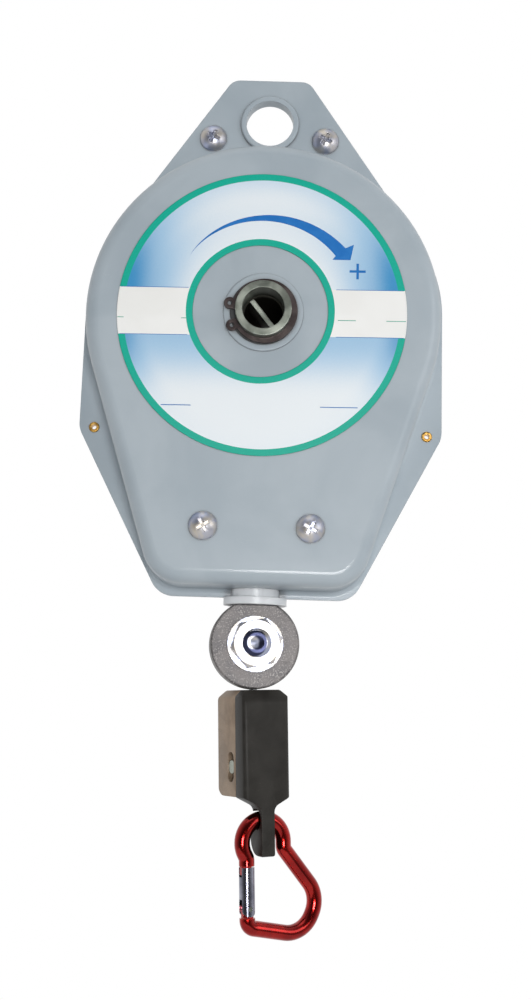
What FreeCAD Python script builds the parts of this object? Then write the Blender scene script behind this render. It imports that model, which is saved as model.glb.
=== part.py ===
import FreeCAD, Part
import math
import os

# Spring tool balancer: two pressed covers bolted face to face round a sprung rope drum.
# A wire rope leaves at the foot and carries a rope stop, a rope clamp and a carabiner.
# Millimetres. The origin is the centre of the suspension eye, in the plane where the covers meet.
# +X is to the right seen from the front, -Y is the front, +Z is up.

# Tolerances of the drawing itself
same_place = 1e-6
on_line = 1e-3
cut_over = 1.0
fuse_in = 0.5

# Raised pans of the covers
sheet = 1.2
hub_z = -80.7
pan_r = 64.0
pan_taper_deg = 17.5
pan_foot_z = -178.0
pan_foot_r = 14.0
pan_edge_r = 5.0
pan_root_r = 2.0
front_depth = 25.0
rear_depth = 20.0
boss_r = 14.3
boss_edge_r = 0.5
boss_rise = 0.8

# Outline of the covers' flat flange
shoulder_margin = 2.5
side_margin = 3.0
flange_top_z = 17.6
flange_top_half = 14.5
flange_top_r = 5.5
shoulder_half = pan_r + shoulder_margin
shoulder_z = -58.0
shoulder_r = 50.0
side_half = pan_r + side_margin
side_z = -120.0
side_r = 9.0
flange_foot_half = 35.3
flange_foot_z = -181.0
flange_foot_r = 9.0

# Suspension eye
eye_r = 9.0
eye_collar_r = 11.0
eye_collar_rise = 1.5
eye_collar_round = 0.7

# Label
label_r = 50.8
label_bore_r = 23.9
label_right = -0.5
label_up = -0.8
label_thick = 0.25

# Cover fasteners
m5_r = 2.5
m5_hole_r = 2.75
pan_head_r = 5.0
pan_head_h = 3.4
pan_head_round = 1.8
cross_width = 1.4
cross_length = 5.2
cross_depth = 1.6
m5_nut_flats = 8.0
m5_nut_h = 4.0
nut_cone_slope = 0.6
screw_end = 1.2
upper_screw_x = 21.3
upper_screw_z = -6.2
lower_screw_x = 18.8
lower_screw_z = -158.0
spacer_r = 4.0
eyelet_in = 5.5
eyelet_up = 0.5
eyelet_x = side_half - eyelet_in
eyelet_z = side_z + eyelet_up
eyelet_r = 1.5
eyelet_bore_r = 0.9
eyelet_rim_r = 2.0
eyelet_rim_h = 0.5
eyelet_rim_slope = 0.3

# Arbor that carries the power spring
arbor_r = 10.0
arbor_bore_r = 7.0
key_socket_r = 7.5
key_socket_depth = 10.0
arbor_front_y = -31.2
arbor_rear_y = 23.2
blade_thick = 1.8
blade_length = 14.0
blade_angle_deg = -51.0
running_gap = 0.05

# Retaining rings
clip_thick = 1.2
clip_groove_r = 9.5
clip_r = 12.2
clip_gap = 0.2
clip_shift = 0.45
clip_lug_r = 2.1
clip_lug_at = 12.3
clip_lug_hole_r = 0.8
clip_opening_deg = 19.0
clip_centre_deg = 187.0

# Bearing bushes
bush_wall = 2.0
bush_flange_r = 15.0
bush_flange_h = 1.1

# Rope drum
rope_r = 1.5
rope_pitch = 3.5
rope_turns = 5.4
wrap_small_r = 46.0
wrap_large_r = 54.0
wrap_exit_y = 0.0
groove_clearance = 0.1
land_below_centre = 0.4
drum_wall = 4.0
drum_cavity_r = wrap_small_r - drum_wall
drum_web_y = 0.0
drum_web_thick = 2.4
drum_flange_rise = 2.5
drum_flange_r = wrap_large_r + rope_r + drum_flange_rise
drum_flange_thick = 1.5
drum_bush_r = 13.0
drum_hub_r = 17.0
drum_hub_front_y = -0.7
drum_hub_rear_y = 4.5
lid_thick = 1.8
lid_rope_gap = 0.3
lid_bush_rear_y = -20.0
lid_collar_r = 15.0
lid_screw_in = 1.0
lid_screw_circle_r = wrap_small_r + lid_screw_in
lid_screw_count = 4
lid_screw_r = 1.5
lid_screw_head_r = 2.6
lid_screw_length = 8.0
lid_countersink_lip = 0.3

# Power spring
spring_strip = 0.8
spring_pitch = 3.4
spring_coils = 8
spring_side_gap = 1.0
spring_inner_gap = 0.1
spring_tab = 1.6
spring_inner_tab_in = 1.0

# Ratchet that holds the set tension
ratchet_front_y = 8.0
ratchet_thick = 5.0
ratchet_tip_r = 22.0
ratchet_root_r = 19.0
ratchet_teeth = 24
ratchet_play_deg = 0.4
pawl_tip_deg = 60.0
pawl_post_x = -10.4
pawl_post_up = 30.2
pawl_boss_r = 5.0
pawl_post_r = 2.5
pawl_post_foot_r = 4.0
spacer_ring_gap = 0.3
pawl_coil_r = 3.9
pawl_coil_h = 2.4
pawl_wire = 0.8
pawl_tip_gap = 0.3
pawl_tip_over = 0.8
pawl_ride_over = 0.5
pawl_back_deg = 0.9
pawl_head_h = 1.2
pawl_head_gap = 0.1
pawl_leg_length = 14.0
pawl_leg_deg = -38.0
pawl_wall_gap = 0.1

# Rope outlet bush
outlet_bore_r = 2.0
outlet_sleeve_r = 8.75
outlet_flange_r = 11.5
outlet_flange_h = 2.7
outlet_collar_r = 10.5
outlet_collar_h = 3.0
outlet_bend_r = 15.0
outlet_fit = 0.1
outlet_corner_up = 2.0
outlet_flare_r = 6.1
outlet_flare_bulge = 0.26
outlet_flare_at = 0.6

# Rope stop
stop_r = 16.0
stop_half = 7.0
stop_flat = 13.9
stop_edge_r = 0.8
stop_gap = 0.2
m10_r = 5.0
m10_hole_r = 5.3
m10_flats = 16.0
m10_nut_h = 8.0
m10_head_h = 6.4
m10_end = 2.0
m10_end_chamfer = 1.4
m10_dimple_r = 2.4
m10_dimple_depth = 1.2
m10_head_dish = 0.6
m10_washer_r = 10.0
m10_washer_h = 2.0
stop_rope_play = 0.15
stop_rope_bend_r = 5.0
stop_turn_deg = 4.5
stop_nut_turn_deg = -17.5

# Rope clamp, drawn square on and then turned about the rope
clamp_turn_deg = 27.0
hang_lean_deg = 2.5
clamp_half_w = 9.1
clamp_half_d = 11.0
clamp_gap = 0.25
clamp_height = 37.4
clamp_shoulder_in = 2.4
clamp_bevel_h = 4.4
clamp_bevel_in = 3.0
clamp_split = -4.0
clamp_edge_r = 1.2
clamp_back_r = 4.9
clamp_corner_r = 0.6
clamp_waist = 3.4
tongue_half = 2.5
tongue_rear = -1.9
tongue_drop = 20.4
tongue_fillet = 3.0
tongue_nose_r = 6.0
tongue_corner_r = 0.5
eye_hole_r = 3.6
eye_hole_drop = 7.6
ferrule_r = 3.5
ferrule_h = 9.0
ferrule_drop = 8.0
ferrule_play = 0.3
ferrule_chamfer = 0.6
cross_pin_r = 2.3
cross_pin_drop = 27.0
cross_pin_slot = 3.0
pin_inset = 0.3
lug_half = 4.0
lug_depth = 6.5
lug_half_h = 4.2
lug_play = 0.25
clamp_screw_r = 2.0
clamp_screw_head_r = 3.5
clamp_screw_head_h = 2.6
clamp_screw_drop = 19.9
clamp_screw_bite = 4.5
clamp_screw_seat_play = 0.2
clamp_socket_flats = 3.0
clamp_socket_depth = 1.8

# Carabiner, drawn in its own plane with the top of its loop at the eye
wire_r = 2.75
loop_r = 8.1
nose_u = -6.4
nose_bend_drop = 13.3
nose_end_drop = 15.8
pinch_u = 8.1
pinch_drop = 10.6
spine_low_u = 21.9
spine_low_drop = 27.9
belly_u = 15.5
belly_drop = 41.0
heel_drop = 36.6
hinge_drop = 33.4
nose_bend_r = 2.5
pinch_bend_r = 3.0
spine_bend_r = 9.8
belly_bend_r = 9.8
heel_bend_r = 3.0
gate_gap = 0.45
leaf_half = 0.9
leaf_play = 0.25
latch_depth = 3.0
latch_wall = 1.1
latch_floor_gap = 0.6
latch_inset = 0.4
gate_pin_r = 0.8
gate_pin_play = 0.05
hinge_stem = 3.2
hinge_inset = 0.8
gate_inset = 0.1
gate_slot_over = 0.4
gate_spring_thick = 0.3
gate_spring_half_w = 0.6
gate_spring_reach = 1.4


def turned(shape, angle):
    """Turn a shape about the rope's vertical line."""
    shape.rotate(FreeCAD.Vector(0, 0, 0), FreeCAD.Vector(0, 0, 1), angle)
    return shape


def hanging(shape):
    """Lean a shape that hangs below the rope stop out of true, about the rope's last bend."""
    lean_axis = FreeCAD.Vector(math.sin(math.radians(stop_turn_deg)), -math.cos(math.radians(stop_turn_deg)), 0)
    shape.rotate(FreeCAD.Vector(0, 0, stop_bend_z(-1)), lean_axis, hang_lean_deg)
    return shape


def round_corner(before, corner, after, radius):
    """Start, middle and end of the arc that rounds one corner of an outline in X and Z."""
    to_before = (before - corner).normalize()
    to_after = (after - corner).normalize()
    half = to_before.getAngle(to_after) / 2
    reach = radius / math.tan(half)
    start = corner + to_before * reach
    end = corner + to_after * reach
    bisector = (to_before + to_after).normalize()
    middle = corner + bisector * (radius / math.sin(half) - radius)
    return start, middle, end


def joined_line(edges, start, end):
    """Add a straight edge where two points are apart."""
    if (end - start).Length > same_place:
        edges.append(Part.LineSegment(start, end).toShape())


def rounded_edges(points, closed):
    """Edges through (x, z, radius) points, each rounded by its radius."""
    spots = [FreeCAD.Vector(x, 0, z) for x, z, radius in points]
    count = len(spots)
    corners = []
    for i, (x, z, radius) in enumerate(points):
        inner = closed or 0 < i < count - 1
        if inner and radius > 0:
            corners.append(round_corner(spots[i - 1], spots[i], spots[(i + 1) % count], radius))
        else:
            corners.append((spots[i], None, spots[i]))
    edges = []
    for i, (start, middle, end) in enumerate(corners):
        if i > 0:
            joined_line(edges, corners[i - 1][2], start)
        if middle is not None:
            edges.append(Part.Arc(start, middle, end).toShape())
    if closed:
        joined_line(edges, corners[-1][2], corners[0][0])
    return edges


def outline(points):
    """Closed outline in X and Z through (x, z, radius) corners."""
    return Part.Wire(rounded_edges(points, True))


def mirrored(points):
    """The corners of a right half, followed by the same corners on the left."""
    left = [(-x, z, radius) for x, z, radius in reversed(points) if x != 0]
    return points + left


def plate(wire, y_from, y_to):
    """Solid between two depths with the given outline."""
    face = Part.Face(wire)
    face.translate(FreeCAD.Vector(0, y_from, 0))
    return face.extrude(FreeCAD.Vector(0, y_to - y_from, 0))


def rod_y(radius, x, z, y_from, y_to):
    """Cylinder that runs from front to back."""
    return Part.makeCylinder(radius, y_to - y_from, FreeCAD.Vector(x, y_from, z), FreeCAD.Vector(0, 1, 0))


def rod_x(radius, y, z, half):
    """Cylinder that runs from left to right, centred on the rope."""
    return Part.makeCylinder(radius, 2 * half, FreeCAD.Vector(-half, y, z), FreeCAD.Vector(1, 0, 0))


def rod_z(radius, z_from, z_to):
    """Cylinder on the rope's line."""
    return Part.makeCylinder(radius, z_to - z_from, FreeCAD.Vector(0, 0, z_from))


def block(x_from, x_to, y_from, y_to, z_from, z_to):
    """Square block between limits."""
    corner = FreeCAD.Vector(x_from, y_from, z_from)
    return Part.makeBox(x_to - x_from, y_to - y_from, z_to - z_from, corner)


def ring_y(profile, x=0.0, z=hub_z):
    """Solid of revolution about a line from front to back; the profile lists (radius, y)."""
    points = [FreeCAD.Vector(x + r, y, z) for r, y in profile]
    face = Part.Face(Part.makePolygon(points + points[:1]))
    return face.revolve(FreeCAD.Vector(x, 0, z), FreeCAD.Vector(0, 1, 0), 360)


def tube_y(outer, inner, y_from, y_to, x=0.0, z=hub_z):
    """Plain tube from front to back."""
    return ring_y([(inner, y_from), (outer, y_from), (outer, y_to), (inner, y_to)], x, z)


def hexagon(flats, x, z, y_from, y_to):
    """Hexagonal bar from front to back with its corners up and down."""
    corner_r = flats / math.sqrt(3)
    corners = []
    for i in range(6):
        angle = math.radians(60 * i + 90)
        corners.append((x + corner_r * math.cos(angle), z + corner_r * math.sin(angle), 0))
    return plate(outline(corners), y_from, y_to)


def nut(flats, height, bore, x, z, y_from, thread_side):
    """Hexagon nut whose outer face has its corners chamfered."""
    body = hexagon(flats, x, z, y_from, y_from + height)
    seat_y, outer_y = (y_from + height, y_from) if thread_side < 0 else (y_from, y_from + height)
    rim_r = flats / math.sqrt(3) + cut_over
    cone = ring_y(
        [
            (0, seat_y),
            (rim_r, seat_y),
            (rim_r, outer_y - thread_side * (rim_r - flats / 2) * nut_cone_slope),
            (flats / 2, outer_y),
            (0, outer_y),
        ],
        x,
        z,
    )
    return body.common(cone).cut(rod_y(bore, x, z, y_from - cut_over, y_from + height + cut_over))


def edges_at(shape, y):
    """Edges of a shape that lie wholly at one depth."""
    return [e for e in shape.Edges if all(abs(v.Point.y - y) < same_place for v in e.Vertexes)]


def flange_outline():
    """Outline of the flat flange that both covers share."""
    right = [
        (flange_top_half, flange_top_z, flange_top_r),
        (shoulder_half, shoulder_z, shoulder_r),
        (side_half, side_z, side_r),
        (flange_foot_half, flange_foot_z, flange_foot_r),
    ]
    return outline(mirrored(right))


def pan_outline(inset):
    """Outline of a raised pan: a round head whose sides taper down to a narrow foot."""
    taper = math.radians(pan_taper_deg)
    radius = pan_r - inset
    side_x = radius * math.cos(taper)
    side_top = hub_z - radius * math.sin(taper)
    foot = pan_foot_z + inset
    foot_half = side_x - (side_top - foot) * math.tan(taper)
    right = FreeCAD.Vector(side_x, 0, side_top)
    left = FreeCAD.Vector(-side_x, 0, side_top)
    top = FreeCAD.Vector(0, 0, hub_z + radius)
    corner_r = pan_foot_r - inset
    below = [
        (side_x, side_top, 0),
        (foot_half, foot, corner_r),
        (-foot_half, foot, corner_r),
        (-side_x, side_top, 0),
    ]
    return Part.Wire(rounded_edges(below, False) + [Part.Arc(left, top, right).toShape()])


def pressed_cover(depth, side):
    """One cover pressed from sheet: flat flange, raised pan and the collar of the eye."""
    outer = plate(pan_outline(0), 0, side * depth)
    outer = outer.makeFillet(pan_edge_r, edges_at(outer, side * depth))
    floor = side * (depth - sheet)
    inner = plate(pan_outline(sheet), 0, floor)
    inner = inner.makeFillet(pan_edge_r - sheet, edges_at(inner, floor))
    flange = plate(flange_outline(), 0, side * sheet)
    body = flange.fuse(outer).removeSplitter()
    pan_wire = pan_outline(0)
    pan_wire.translate(FreeCAD.Vector(0, side * sheet, 0))
    root = [
        e for e in edges_at(body, side * sheet)
        if pan_wire.distToShape(Part.Vertex(e.valueAt((e.FirstParameter + e.LastParameter) / 2)))[0] < on_line
    ]
    body = body.makeFillet(pan_root_r, root)
    rim_y = side * (sheet + eye_collar_rise)
    collar = rod_y(eye_collar_r, 0, 0, min(0, rim_y), max(0, rim_y))
    collar = collar.makeFillet(eye_collar_round, edges_at(collar, rim_y))
    body = body.fuse(collar)
    reach = depth + eye_collar_rise
    holes = [rod_y(eye_r, 0, 0, -reach, reach)]
    for x in (-1, 1):
        holes.append(rod_y(m5_hole_r, x * upper_screw_x, upper_screw_z, -reach, reach))
        holes.append(rod_y(m5_hole_r, x * lower_screw_x, lower_screw_z, -reach, reach))
        holes.append(rod_y(eyelet_r, x * eyelet_x, eyelet_z, -reach, reach))
    holes.append(rod_y(arbor_r + running_gap + bush_wall, 0, hub_z, -reach, reach))
    holes.append(rod_z(outlet_sleeve_r + outlet_fit, flange_foot_z - cut_over, pan_foot_z + sheet + cut_over))
    return body.cut(inner).cut(Part.makeCompound(holes))


def front_cover():
    """Deep front cover with a low boss round the arbor."""
    cover = pressed_cover(front_depth, -1)
    bore = arbor_r + running_gap + bush_wall
    top = -front_depth - boss_rise
    boss = rod_y(boss_r, 0, hub_z, top, -front_depth + sheet / 2)
    boss = boss.makeFillet(boss_edge_r, edges_at(boss, top))
    return cover.fuse(boss.cut(rod_y(bore, 0, hub_z, top - cut_over, 0))).removeSplitter()


def rear_cover():
    """Shallow rear cover."""
    return pressed_cover(rear_depth, 1)


def label_disc():
    """Thin printed ring stuck to the front face, a little off the hub's centre; its hole is on it."""
    front = -front_depth - label_thick
    disc = rod_y(label_r, label_right, hub_z + label_up, front, -front_depth)
    return disc.cut(rod_y(label_bore_r, 0, hub_z, front - cut_over, 0))


def pan_head_screw(x, z, face_y, length):
    """Pan head screw with a cross recess, driven in from the front."""
    head = rod_y(pan_head_r, x, z, face_y - pan_head_h, face_y)
    head = head.makeFillet(pan_head_round, edges_at(head, face_y - pan_head_h))
    shank = rod_y(m5_r, x, z, face_y - fuse_in, face_y + length)
    top = face_y - pan_head_h
    half, arm = cross_width / 2, cross_length / 2
    slot = block(x - half, x + half, top - cut_over, top + cross_depth, z - arm, z + arm)
    bar = block(x - arm, x + arm, top - cut_over, top + cross_depth, z - half, z + half)
    return head.fuse(shank).cut(slot.fuse(bar))


def upper_screws():
    """Pair of short screws beside the eye."""
    length = 2 * sheet + m5_nut_h + screw_end
    return Part.makeCompound(
        [pan_head_screw(x * upper_screw_x, upper_screw_z, -sheet, length) for x in (-1, 1)]
    )


def upper_nuts():
    """Nuts of the short screws, behind the rear flange."""
    return Part.makeCompound(
        [nut(m5_nut_flats, m5_nut_h, m5_r, x * upper_screw_x, upper_screw_z, sheet, 1) for x in (-1, 1)]
    )


def lower_screws():
    """Pair of long screws through the foot of both pans."""
    length = front_depth + rear_depth + m5_nut_h + screw_end
    return Part.makeCompound(
        [pan_head_screw(x * lower_screw_x, lower_screw_z, -front_depth, length) for x in (-1, 1)]
    )


def lower_nuts():
    """Nuts of the long screws, behind the rear pan."""
    return Part.makeCompound(
        [nut(m5_nut_flats, m5_nut_h, m5_r, x * lower_screw_x, lower_screw_z, rear_depth, 1) for x in (-1, 1)]
    )


def spacer_tubes():
    """Tubes that hold the two pans apart round the long screws."""
    front = -front_depth + sheet
    rear = rear_depth - sheet
    return Part.makeCompound(
        [tube_y(spacer_r, m5_hole_r, front, rear, x * lower_screw_x, lower_screw_z) for x in (-1, 1)]
    )


def side_eyelets():
    """Hollow rivets that close the flanges at their widest corners."""
    rivets = []
    for x in (-1, 1):
        profile = [
            (eyelet_bore_r, -sheet - eyelet_rim_h),
            (eyelet_rim_r - eyelet_rim_slope, -sheet - eyelet_rim_h),
            (eyelet_rim_r, -sheet),
            (eyelet_r, -sheet),
            (eyelet_r, sheet),
            (eyelet_rim_r, sheet),
            (eyelet_rim_r - eyelet_rim_slope, sheet + eyelet_rim_h),
            (eyelet_bore_r, sheet + eyelet_rim_h),
        ]
        rivets.append(ring_y(profile, x * eyelet_x, eyelet_z))
    return Part.makeCompound(rivets)


def arbor_bush(outer_y, inner_y):
    """Flanged bearing bush of the arbor: the sleeve fills the sheet, the flange lies inside it."""
    bore = arbor_r + running_gap
    side = 1 if inner_y > outer_y else -1
    flange_end = inner_y + side * bush_flange_h
    return ring_y(
        [
            (bore, outer_y),
            (bore + bush_wall, outer_y),
            (bore + bush_wall, inner_y),
            (bush_flange_r, inner_y),
            (bush_flange_r, flange_end),
            (bore, flange_end),
        ]
    )


def arbor_front_bush():
    """Bearing bush in the boss of the front cover."""
    return arbor_bush(-front_depth - boss_rise, -front_depth + sheet)


def arbor_rear_bush():
    """Bearing bush in the rear cover."""
    return arbor_bush(rear_depth, rear_depth - sheet)


def front_clip_y():
    """Front face of the front retaining ring."""
    return -front_depth - boss_rise - clip_gap - clip_thick


def rear_clip_y():
    """Front face of the rear retaining ring."""
    return rear_depth + clip_gap


def arbor_tube():
    """Hollow arbor with a key socket in its mouth, two ring grooves and a slot for the spring."""
    tube = ring_y(
        [
            (key_socket_r, arbor_front_y),
            (arbor_r, arbor_front_y),
            (arbor_r, arbor_rear_y),
            (arbor_bore_r, arbor_rear_y),
            (arbor_bore_r, arbor_front_y + key_socket_depth),
            (key_socket_r, arbor_front_y + key_socket_depth),
        ]
    )
    for y in (front_clip_y(), rear_clip_y()):
        tube = tube.cut(tube_y(arbor_r + cut_over, clip_groove_r, y, y + clip_thick))
    y_from, y_to = spring_limits()
    slot_half = spring_strip / 2 + running_gap
    front, rear = y_from - running_gap, y_to + running_gap
    return tube.cut(block(0, arbor_r + cut_over, front, rear, hub_z - slot_half, hub_z + slot_half))


def arbor_blade():
    """Flat blade across the arbor's bore that the setting key turns."""
    mouth = arbor_front_y + key_socket_depth
    half = blade_thick / 2
    bar = block(-arbor_r, arbor_r, mouth, mouth + blade_length, hub_z - half, hub_z + half)
    bar.rotate(FreeCAD.Vector(0, 0, hub_z), FreeCAD.Vector(0, -1, 0), blade_angle_deg)
    return bar.common(rod_y(arbor_bore_r, 0, hub_z, mouth, mouth + blade_length))


def retaining_ring(y_front):
    """External retaining ring: widest opposite its opening, with a drilled lug at each end."""
    middle = math.radians(clip_centre_deg)
    away = FreeCAD.Vector(-math.cos(middle), 0, -math.sin(middle)) * clip_shift
    ring = rod_y(clip_r - clip_shift, away.x, hub_z + away.z, y_front, y_front + clip_thick)
    before, behind = y_front - cut_over, y_front + clip_thick + cut_over
    half = math.radians(clip_opening_deg / 2)
    lugs = []
    holes = []
    for side in (-1, 1):
        angle = middle + side * (half + clip_lug_r / clip_lug_at)
        x = clip_lug_at * math.cos(angle)
        z = hub_z + clip_lug_at * math.sin(angle)
        lugs.append(rod_y(clip_lug_r, x, z, y_front, y_front + clip_thick))
        holes.append(rod_y(clip_lug_hole_r, x, z, before, behind))
    far = 2 * clip_r
    wedge_points = [
        (0, hub_z, 0),
        (far * math.cos(middle - half), hub_z + far * math.sin(middle - half), 0),
        (far * math.cos(middle + half), hub_z + far * math.sin(middle + half), 0),
    ]
    wedge = plate(outline(wedge_points), before, behind)
    ring = ring.fuse(lugs).cut(rod_y(clip_groove_r, 0, hub_z, before, behind))
    return ring.cut(wedge).cut(Part.makeCompound(holes))


def front_retaining_ring():
    """Retaining ring in front of the boss."""
    return retaining_ring(front_clip_y())


def rear_retaining_ring():
    """Retaining ring behind the rear cover."""
    return retaining_ring(rear_clip_y())


def wrap_limits():
    """Depth of the rope's first and last turn on the drum, rear end first."""
    return wrap_exit_y, wrap_exit_y - rope_pitch * rope_turns


def lid_rear_y():
    """Rear face of the drum lid, just in front of the rope's last turn."""
    return wrap_limits()[1] - rope_r - lid_rope_gap


def wrap_radius(y):
    """Radius of the rope's centre line where the taper crosses a depth."""
    rear, front = wrap_limits()
    return wrap_small_r + (wrap_large_r - wrap_small_r) * (rear - y) / (rear - front)


def rope_exit():
    """Point where the rope leaves the drum, the direction to it and its angle seen from the front."""
    below = hub_z - outlet_corner_z()
    angle = math.radians(270) - math.acos(wrap_small_r / below)
    x = wrap_small_r * math.cos(angle)
    z = hub_z + wrap_small_r * math.sin(angle)
    return FreeCAD.Vector(x, wrap_exit_y, z), math.degrees(angle)


def outlet_corner_z():
    """Height where the slanting rope meets the vertical line through the outlet bush."""
    return pan_foot_z + outlet_corner_up


def rope_coil(radius):
    """Tube of a given radius along the tapering coil that the wound rope follows."""
    rear, front = wrap_limits()
    height = rear - front
    flare = math.degrees(math.atan((wrap_large_r - wrap_small_r) / height))
    path = Part.makeHelix(rope_pitch, height, wrap_small_r, flare)
    profile = Part.Wire(Part.makeCircle(radius, FreeCAD.Vector(wrap_small_r, 0, 0), FreeCAD.Vector(0, 1, 0)))
    tube = Part.Wire(path.Edges).makePipeShell([profile], True, True)
    tube.rotate(FreeCAD.Vector(0, 0, 0), FreeCAD.Vector(1, 0, 0), 90)
    tube = tube.mirror(FreeCAD.Vector(0, 0, 0), FreeCAD.Vector(0, 0, 1))
    tube.rotate(FreeCAD.Vector(0, 0, 0), FreeCAD.Vector(0, -1, 0), rope_exit()[1])
    tube.translate(FreeCAD.Vector(0, rear, hub_z))
    return tube


def wound_rope():
    """The rope on the drum at rest, fully wound in."""
    return rope_coil(rope_r)


def rope_drum():
    """Tapered rope drum: grooved rim, web with a bearing hub and a flange at its small end."""
    front = lid_rear_y()
    land_front = wrap_radius(front) - land_below_centre
    flange_front = wrap_exit_y + rope_r + lid_rope_gap
    land_rear = wrap_radius(flange_front) - land_below_centre
    flange_rear = flange_front + drum_flange_thick
    web_rear = drum_web_y + drum_web_thick
    body = ring_y(
        [
            (drum_cavity_r, front),
            (land_front, front),
            (land_rear, flange_front),
            (drum_flange_r, flange_front),
            (drum_flange_r, flange_rear),
            (drum_cavity_r, flange_rear),
            (drum_cavity_r, web_rear),
            (drum_hub_r, web_rear),
            (drum_hub_r, drum_hub_rear_y),
            (drum_bush_r, drum_hub_rear_y),
            (drum_bush_r, drum_hub_front_y),
            (drum_hub_r, drum_hub_front_y),
            (drum_hub_r, drum_web_y),
            (drum_cavity_r, drum_web_y),
        ]
    )
    holes = []
    for x, z in lid_screw_places():
        holes.append(rod_y(lid_screw_r, x, z, front - cut_over, front - lid_thick + lid_screw_length))
    y_from, y_to = spring_limits()
    slot_half = spring_strip / 2 + running_gap
    x_in, x_out = -drum_cavity_r - spring_tab, 0
    holes.append(block(x_in, x_out, y_from, y_to, hub_z - slot_half, hub_z + slot_half))
    groove = rope_coil(rope_r + groove_clearance)
    run_out = Part.makeTorus(
        wrap_small_r, rope_r + groove_clearance, FreeCAD.Vector(0, wrap_exit_y, hub_z), FreeCAD.Vector(0, 1, 0)
    )
    return body.cut(Part.makeCompound(holes)).cut(groove).cut(run_out)


def drum_bush(y_from, y_to):
    """Plain bearing bush between the drum and the arbor."""
    return tube_y(drum_bush_r, arbor_r + running_gap, y_from, y_to)


def drum_rear_bush():
    """Bearing bush in the drum's hub."""
    return drum_bush(drum_hub_front_y, drum_hub_rear_y)


def drum_front_bush():
    """Bearing bush in the drum's lid."""
    return drum_bush(lid_rear_y() - lid_thick, lid_bush_rear_y)


def lid_screw_places():
    """Centres of the lid screws."""
    places = []
    for i in range(lid_screw_count):
        angle = 2 * math.pi * (i + 0.5) / lid_screw_count
        x = lid_screw_circle_r * math.cos(angle)
        places.append((x, hub_z + lid_screw_circle_r * math.sin(angle)))
    return places


def drum_lid():
    """Lid that closes the spring chamber and flanges the drum's large end."""
    rear = lid_rear_y()
    front = rear - lid_thick
    lid = tube_y(drum_flange_r, drum_bush_r, front, rear)
    collar = tube_y(lid_collar_r, drum_bush_r, rear, lid_bush_rear_y)
    lid = lid.fuse(collar).removeSplitter()
    for x, z in lid_screw_places():
        profile = [
            (0, front - cut_over),
            (lid_screw_head_r, front - cut_over),
            (lid_screw_head_r, front),
            (lid_screw_r, rear - lid_countersink_lip),
            (lid_screw_r, rear + cut_over),
            (0, rear + cut_over),
        ]
        lid = lid.cut(ring_y(profile, x, z))
    return lid


def lid_screws():
    """Countersunk screws of the drum lid."""
    rear = lid_rear_y()
    front = rear - lid_thick
    screws = []
    for x, z in lid_screw_places():
        profile = [(0, front), (lid_screw_head_r, front), (lid_screw_r, rear - lid_countersink_lip)]
        profile += [(lid_screw_r, front + lid_screw_length), (0, front + lid_screw_length)]
        screws.append(ring_y(profile, x, z))
    return Part.makeCompound(screws)


def spring_limits():
    """Front and rear edge of the spring strip inside its chamber."""
    return lid_bush_rear_y + spring_side_gap, drum_hub_front_y - spring_side_gap


def power_spring():
    """Flat spiral spring from half-turn arcs that grow by half a pitch, with a tab at each end."""
    half_pitch = spring_pitch / 2
    first_r = arbor_r + spring_inner_gap + spring_strip / 2 + half_pitch / 2
    last_r = drum_cavity_r - spring_strip / 2 - spring_inner_gap - half_pitch / 2
    growth = (last_r - first_r) / (2 * spring_coils)
    outer_edges = []
    inner_edges = []
    for i in range(2 * spring_coils + 1):
        side = 1 if i % 2 == 0 else -1
        radius = first_r + i * growth
        centre = -side * growth / 2
        start_x = centre + side * radius
        end_x = centre - side * radius
        for edges, r in ((outer_edges, radius + spring_strip / 2), (inner_edges, radius - spring_strip / 2)):
            a = FreeCAD.Vector(centre + side * r, 0, hub_z)
            b = FreeCAD.Vector(centre, 0, hub_z + side * r)
            c = FreeCAD.Vector(centre - side * r, 0, hub_z)
            edges.append(Part.Arc(a, b, c).toShape())
    start_cap = Part.LineSegment(inner_edges[0].Vertexes[0].Point, outer_edges[0].Vertexes[0].Point).toShape()
    end_cap = Part.LineSegment(
        FreeCAD.Vector(end_x - spring_strip / 2, 0, hub_z), FreeCAD.Vector(end_x + spring_strip / 2, 0, hub_z)
    ).toShape()
    wire = Part.Wire(Part.__sortEdges__(outer_edges + inner_edges + [start_cap, end_cap]))
    y_from, y_to = spring_limits()
    strip = plate(wire, y_from, y_to)
    half = spring_strip / 2
    first_x = first_r - growth / 2
    inner_tab = block(arbor_bore_r + spring_inner_tab_in, first_x, y_from, y_to, hub_z - half, hub_z + half)
    outer_tab = block(-drum_cavity_r - spring_tab, end_x, y_from, y_to, hub_z - half, hub_z + half)
    return strip.fuse(inner_tab).fuse(outer_tab).removeSplitter()


def arbor_spacer():
    """Loose ring that keeps the ratchet wheel clear of the drum."""
    front = drum_hub_rear_y + spacer_ring_gap
    return tube_y(drum_bush_r, arbor_r + running_gap, front, ratchet_front_y)


def ratchet_point(radius, degrees):
    """Point at an angle round the arbor, as an outline corner."""
    angle = math.radians(degrees)
    return (radius * math.cos(angle), hub_z + radius * math.sin(angle), 0)


def ratchet_wheel():
    """Saw-toothed wheel fixed on the arbor; its steep flanks face the way the spring pulls."""
    step = 360 / ratchet_teeth
    corners = []
    for i in range(ratchet_teeth):
        flank = pawl_tip_deg - ratchet_play_deg + i * step
        corners.append(ratchet_point(ratchet_tip_r, flank))
        corners.append(ratchet_point(ratchet_root_r, flank))
    wheel = plate(outline(corners), ratchet_front_y, ratchet_front_y + ratchet_thick)
    rear = ratchet_front_y + ratchet_thick
    return wheel.cut(rod_y(arbor_r, 0, hub_z, ratchet_front_y - cut_over, rear + cut_over))


def pawl_post_z():
    """Height of the pawl's pivot."""
    return hub_z + pawl_post_up


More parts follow.
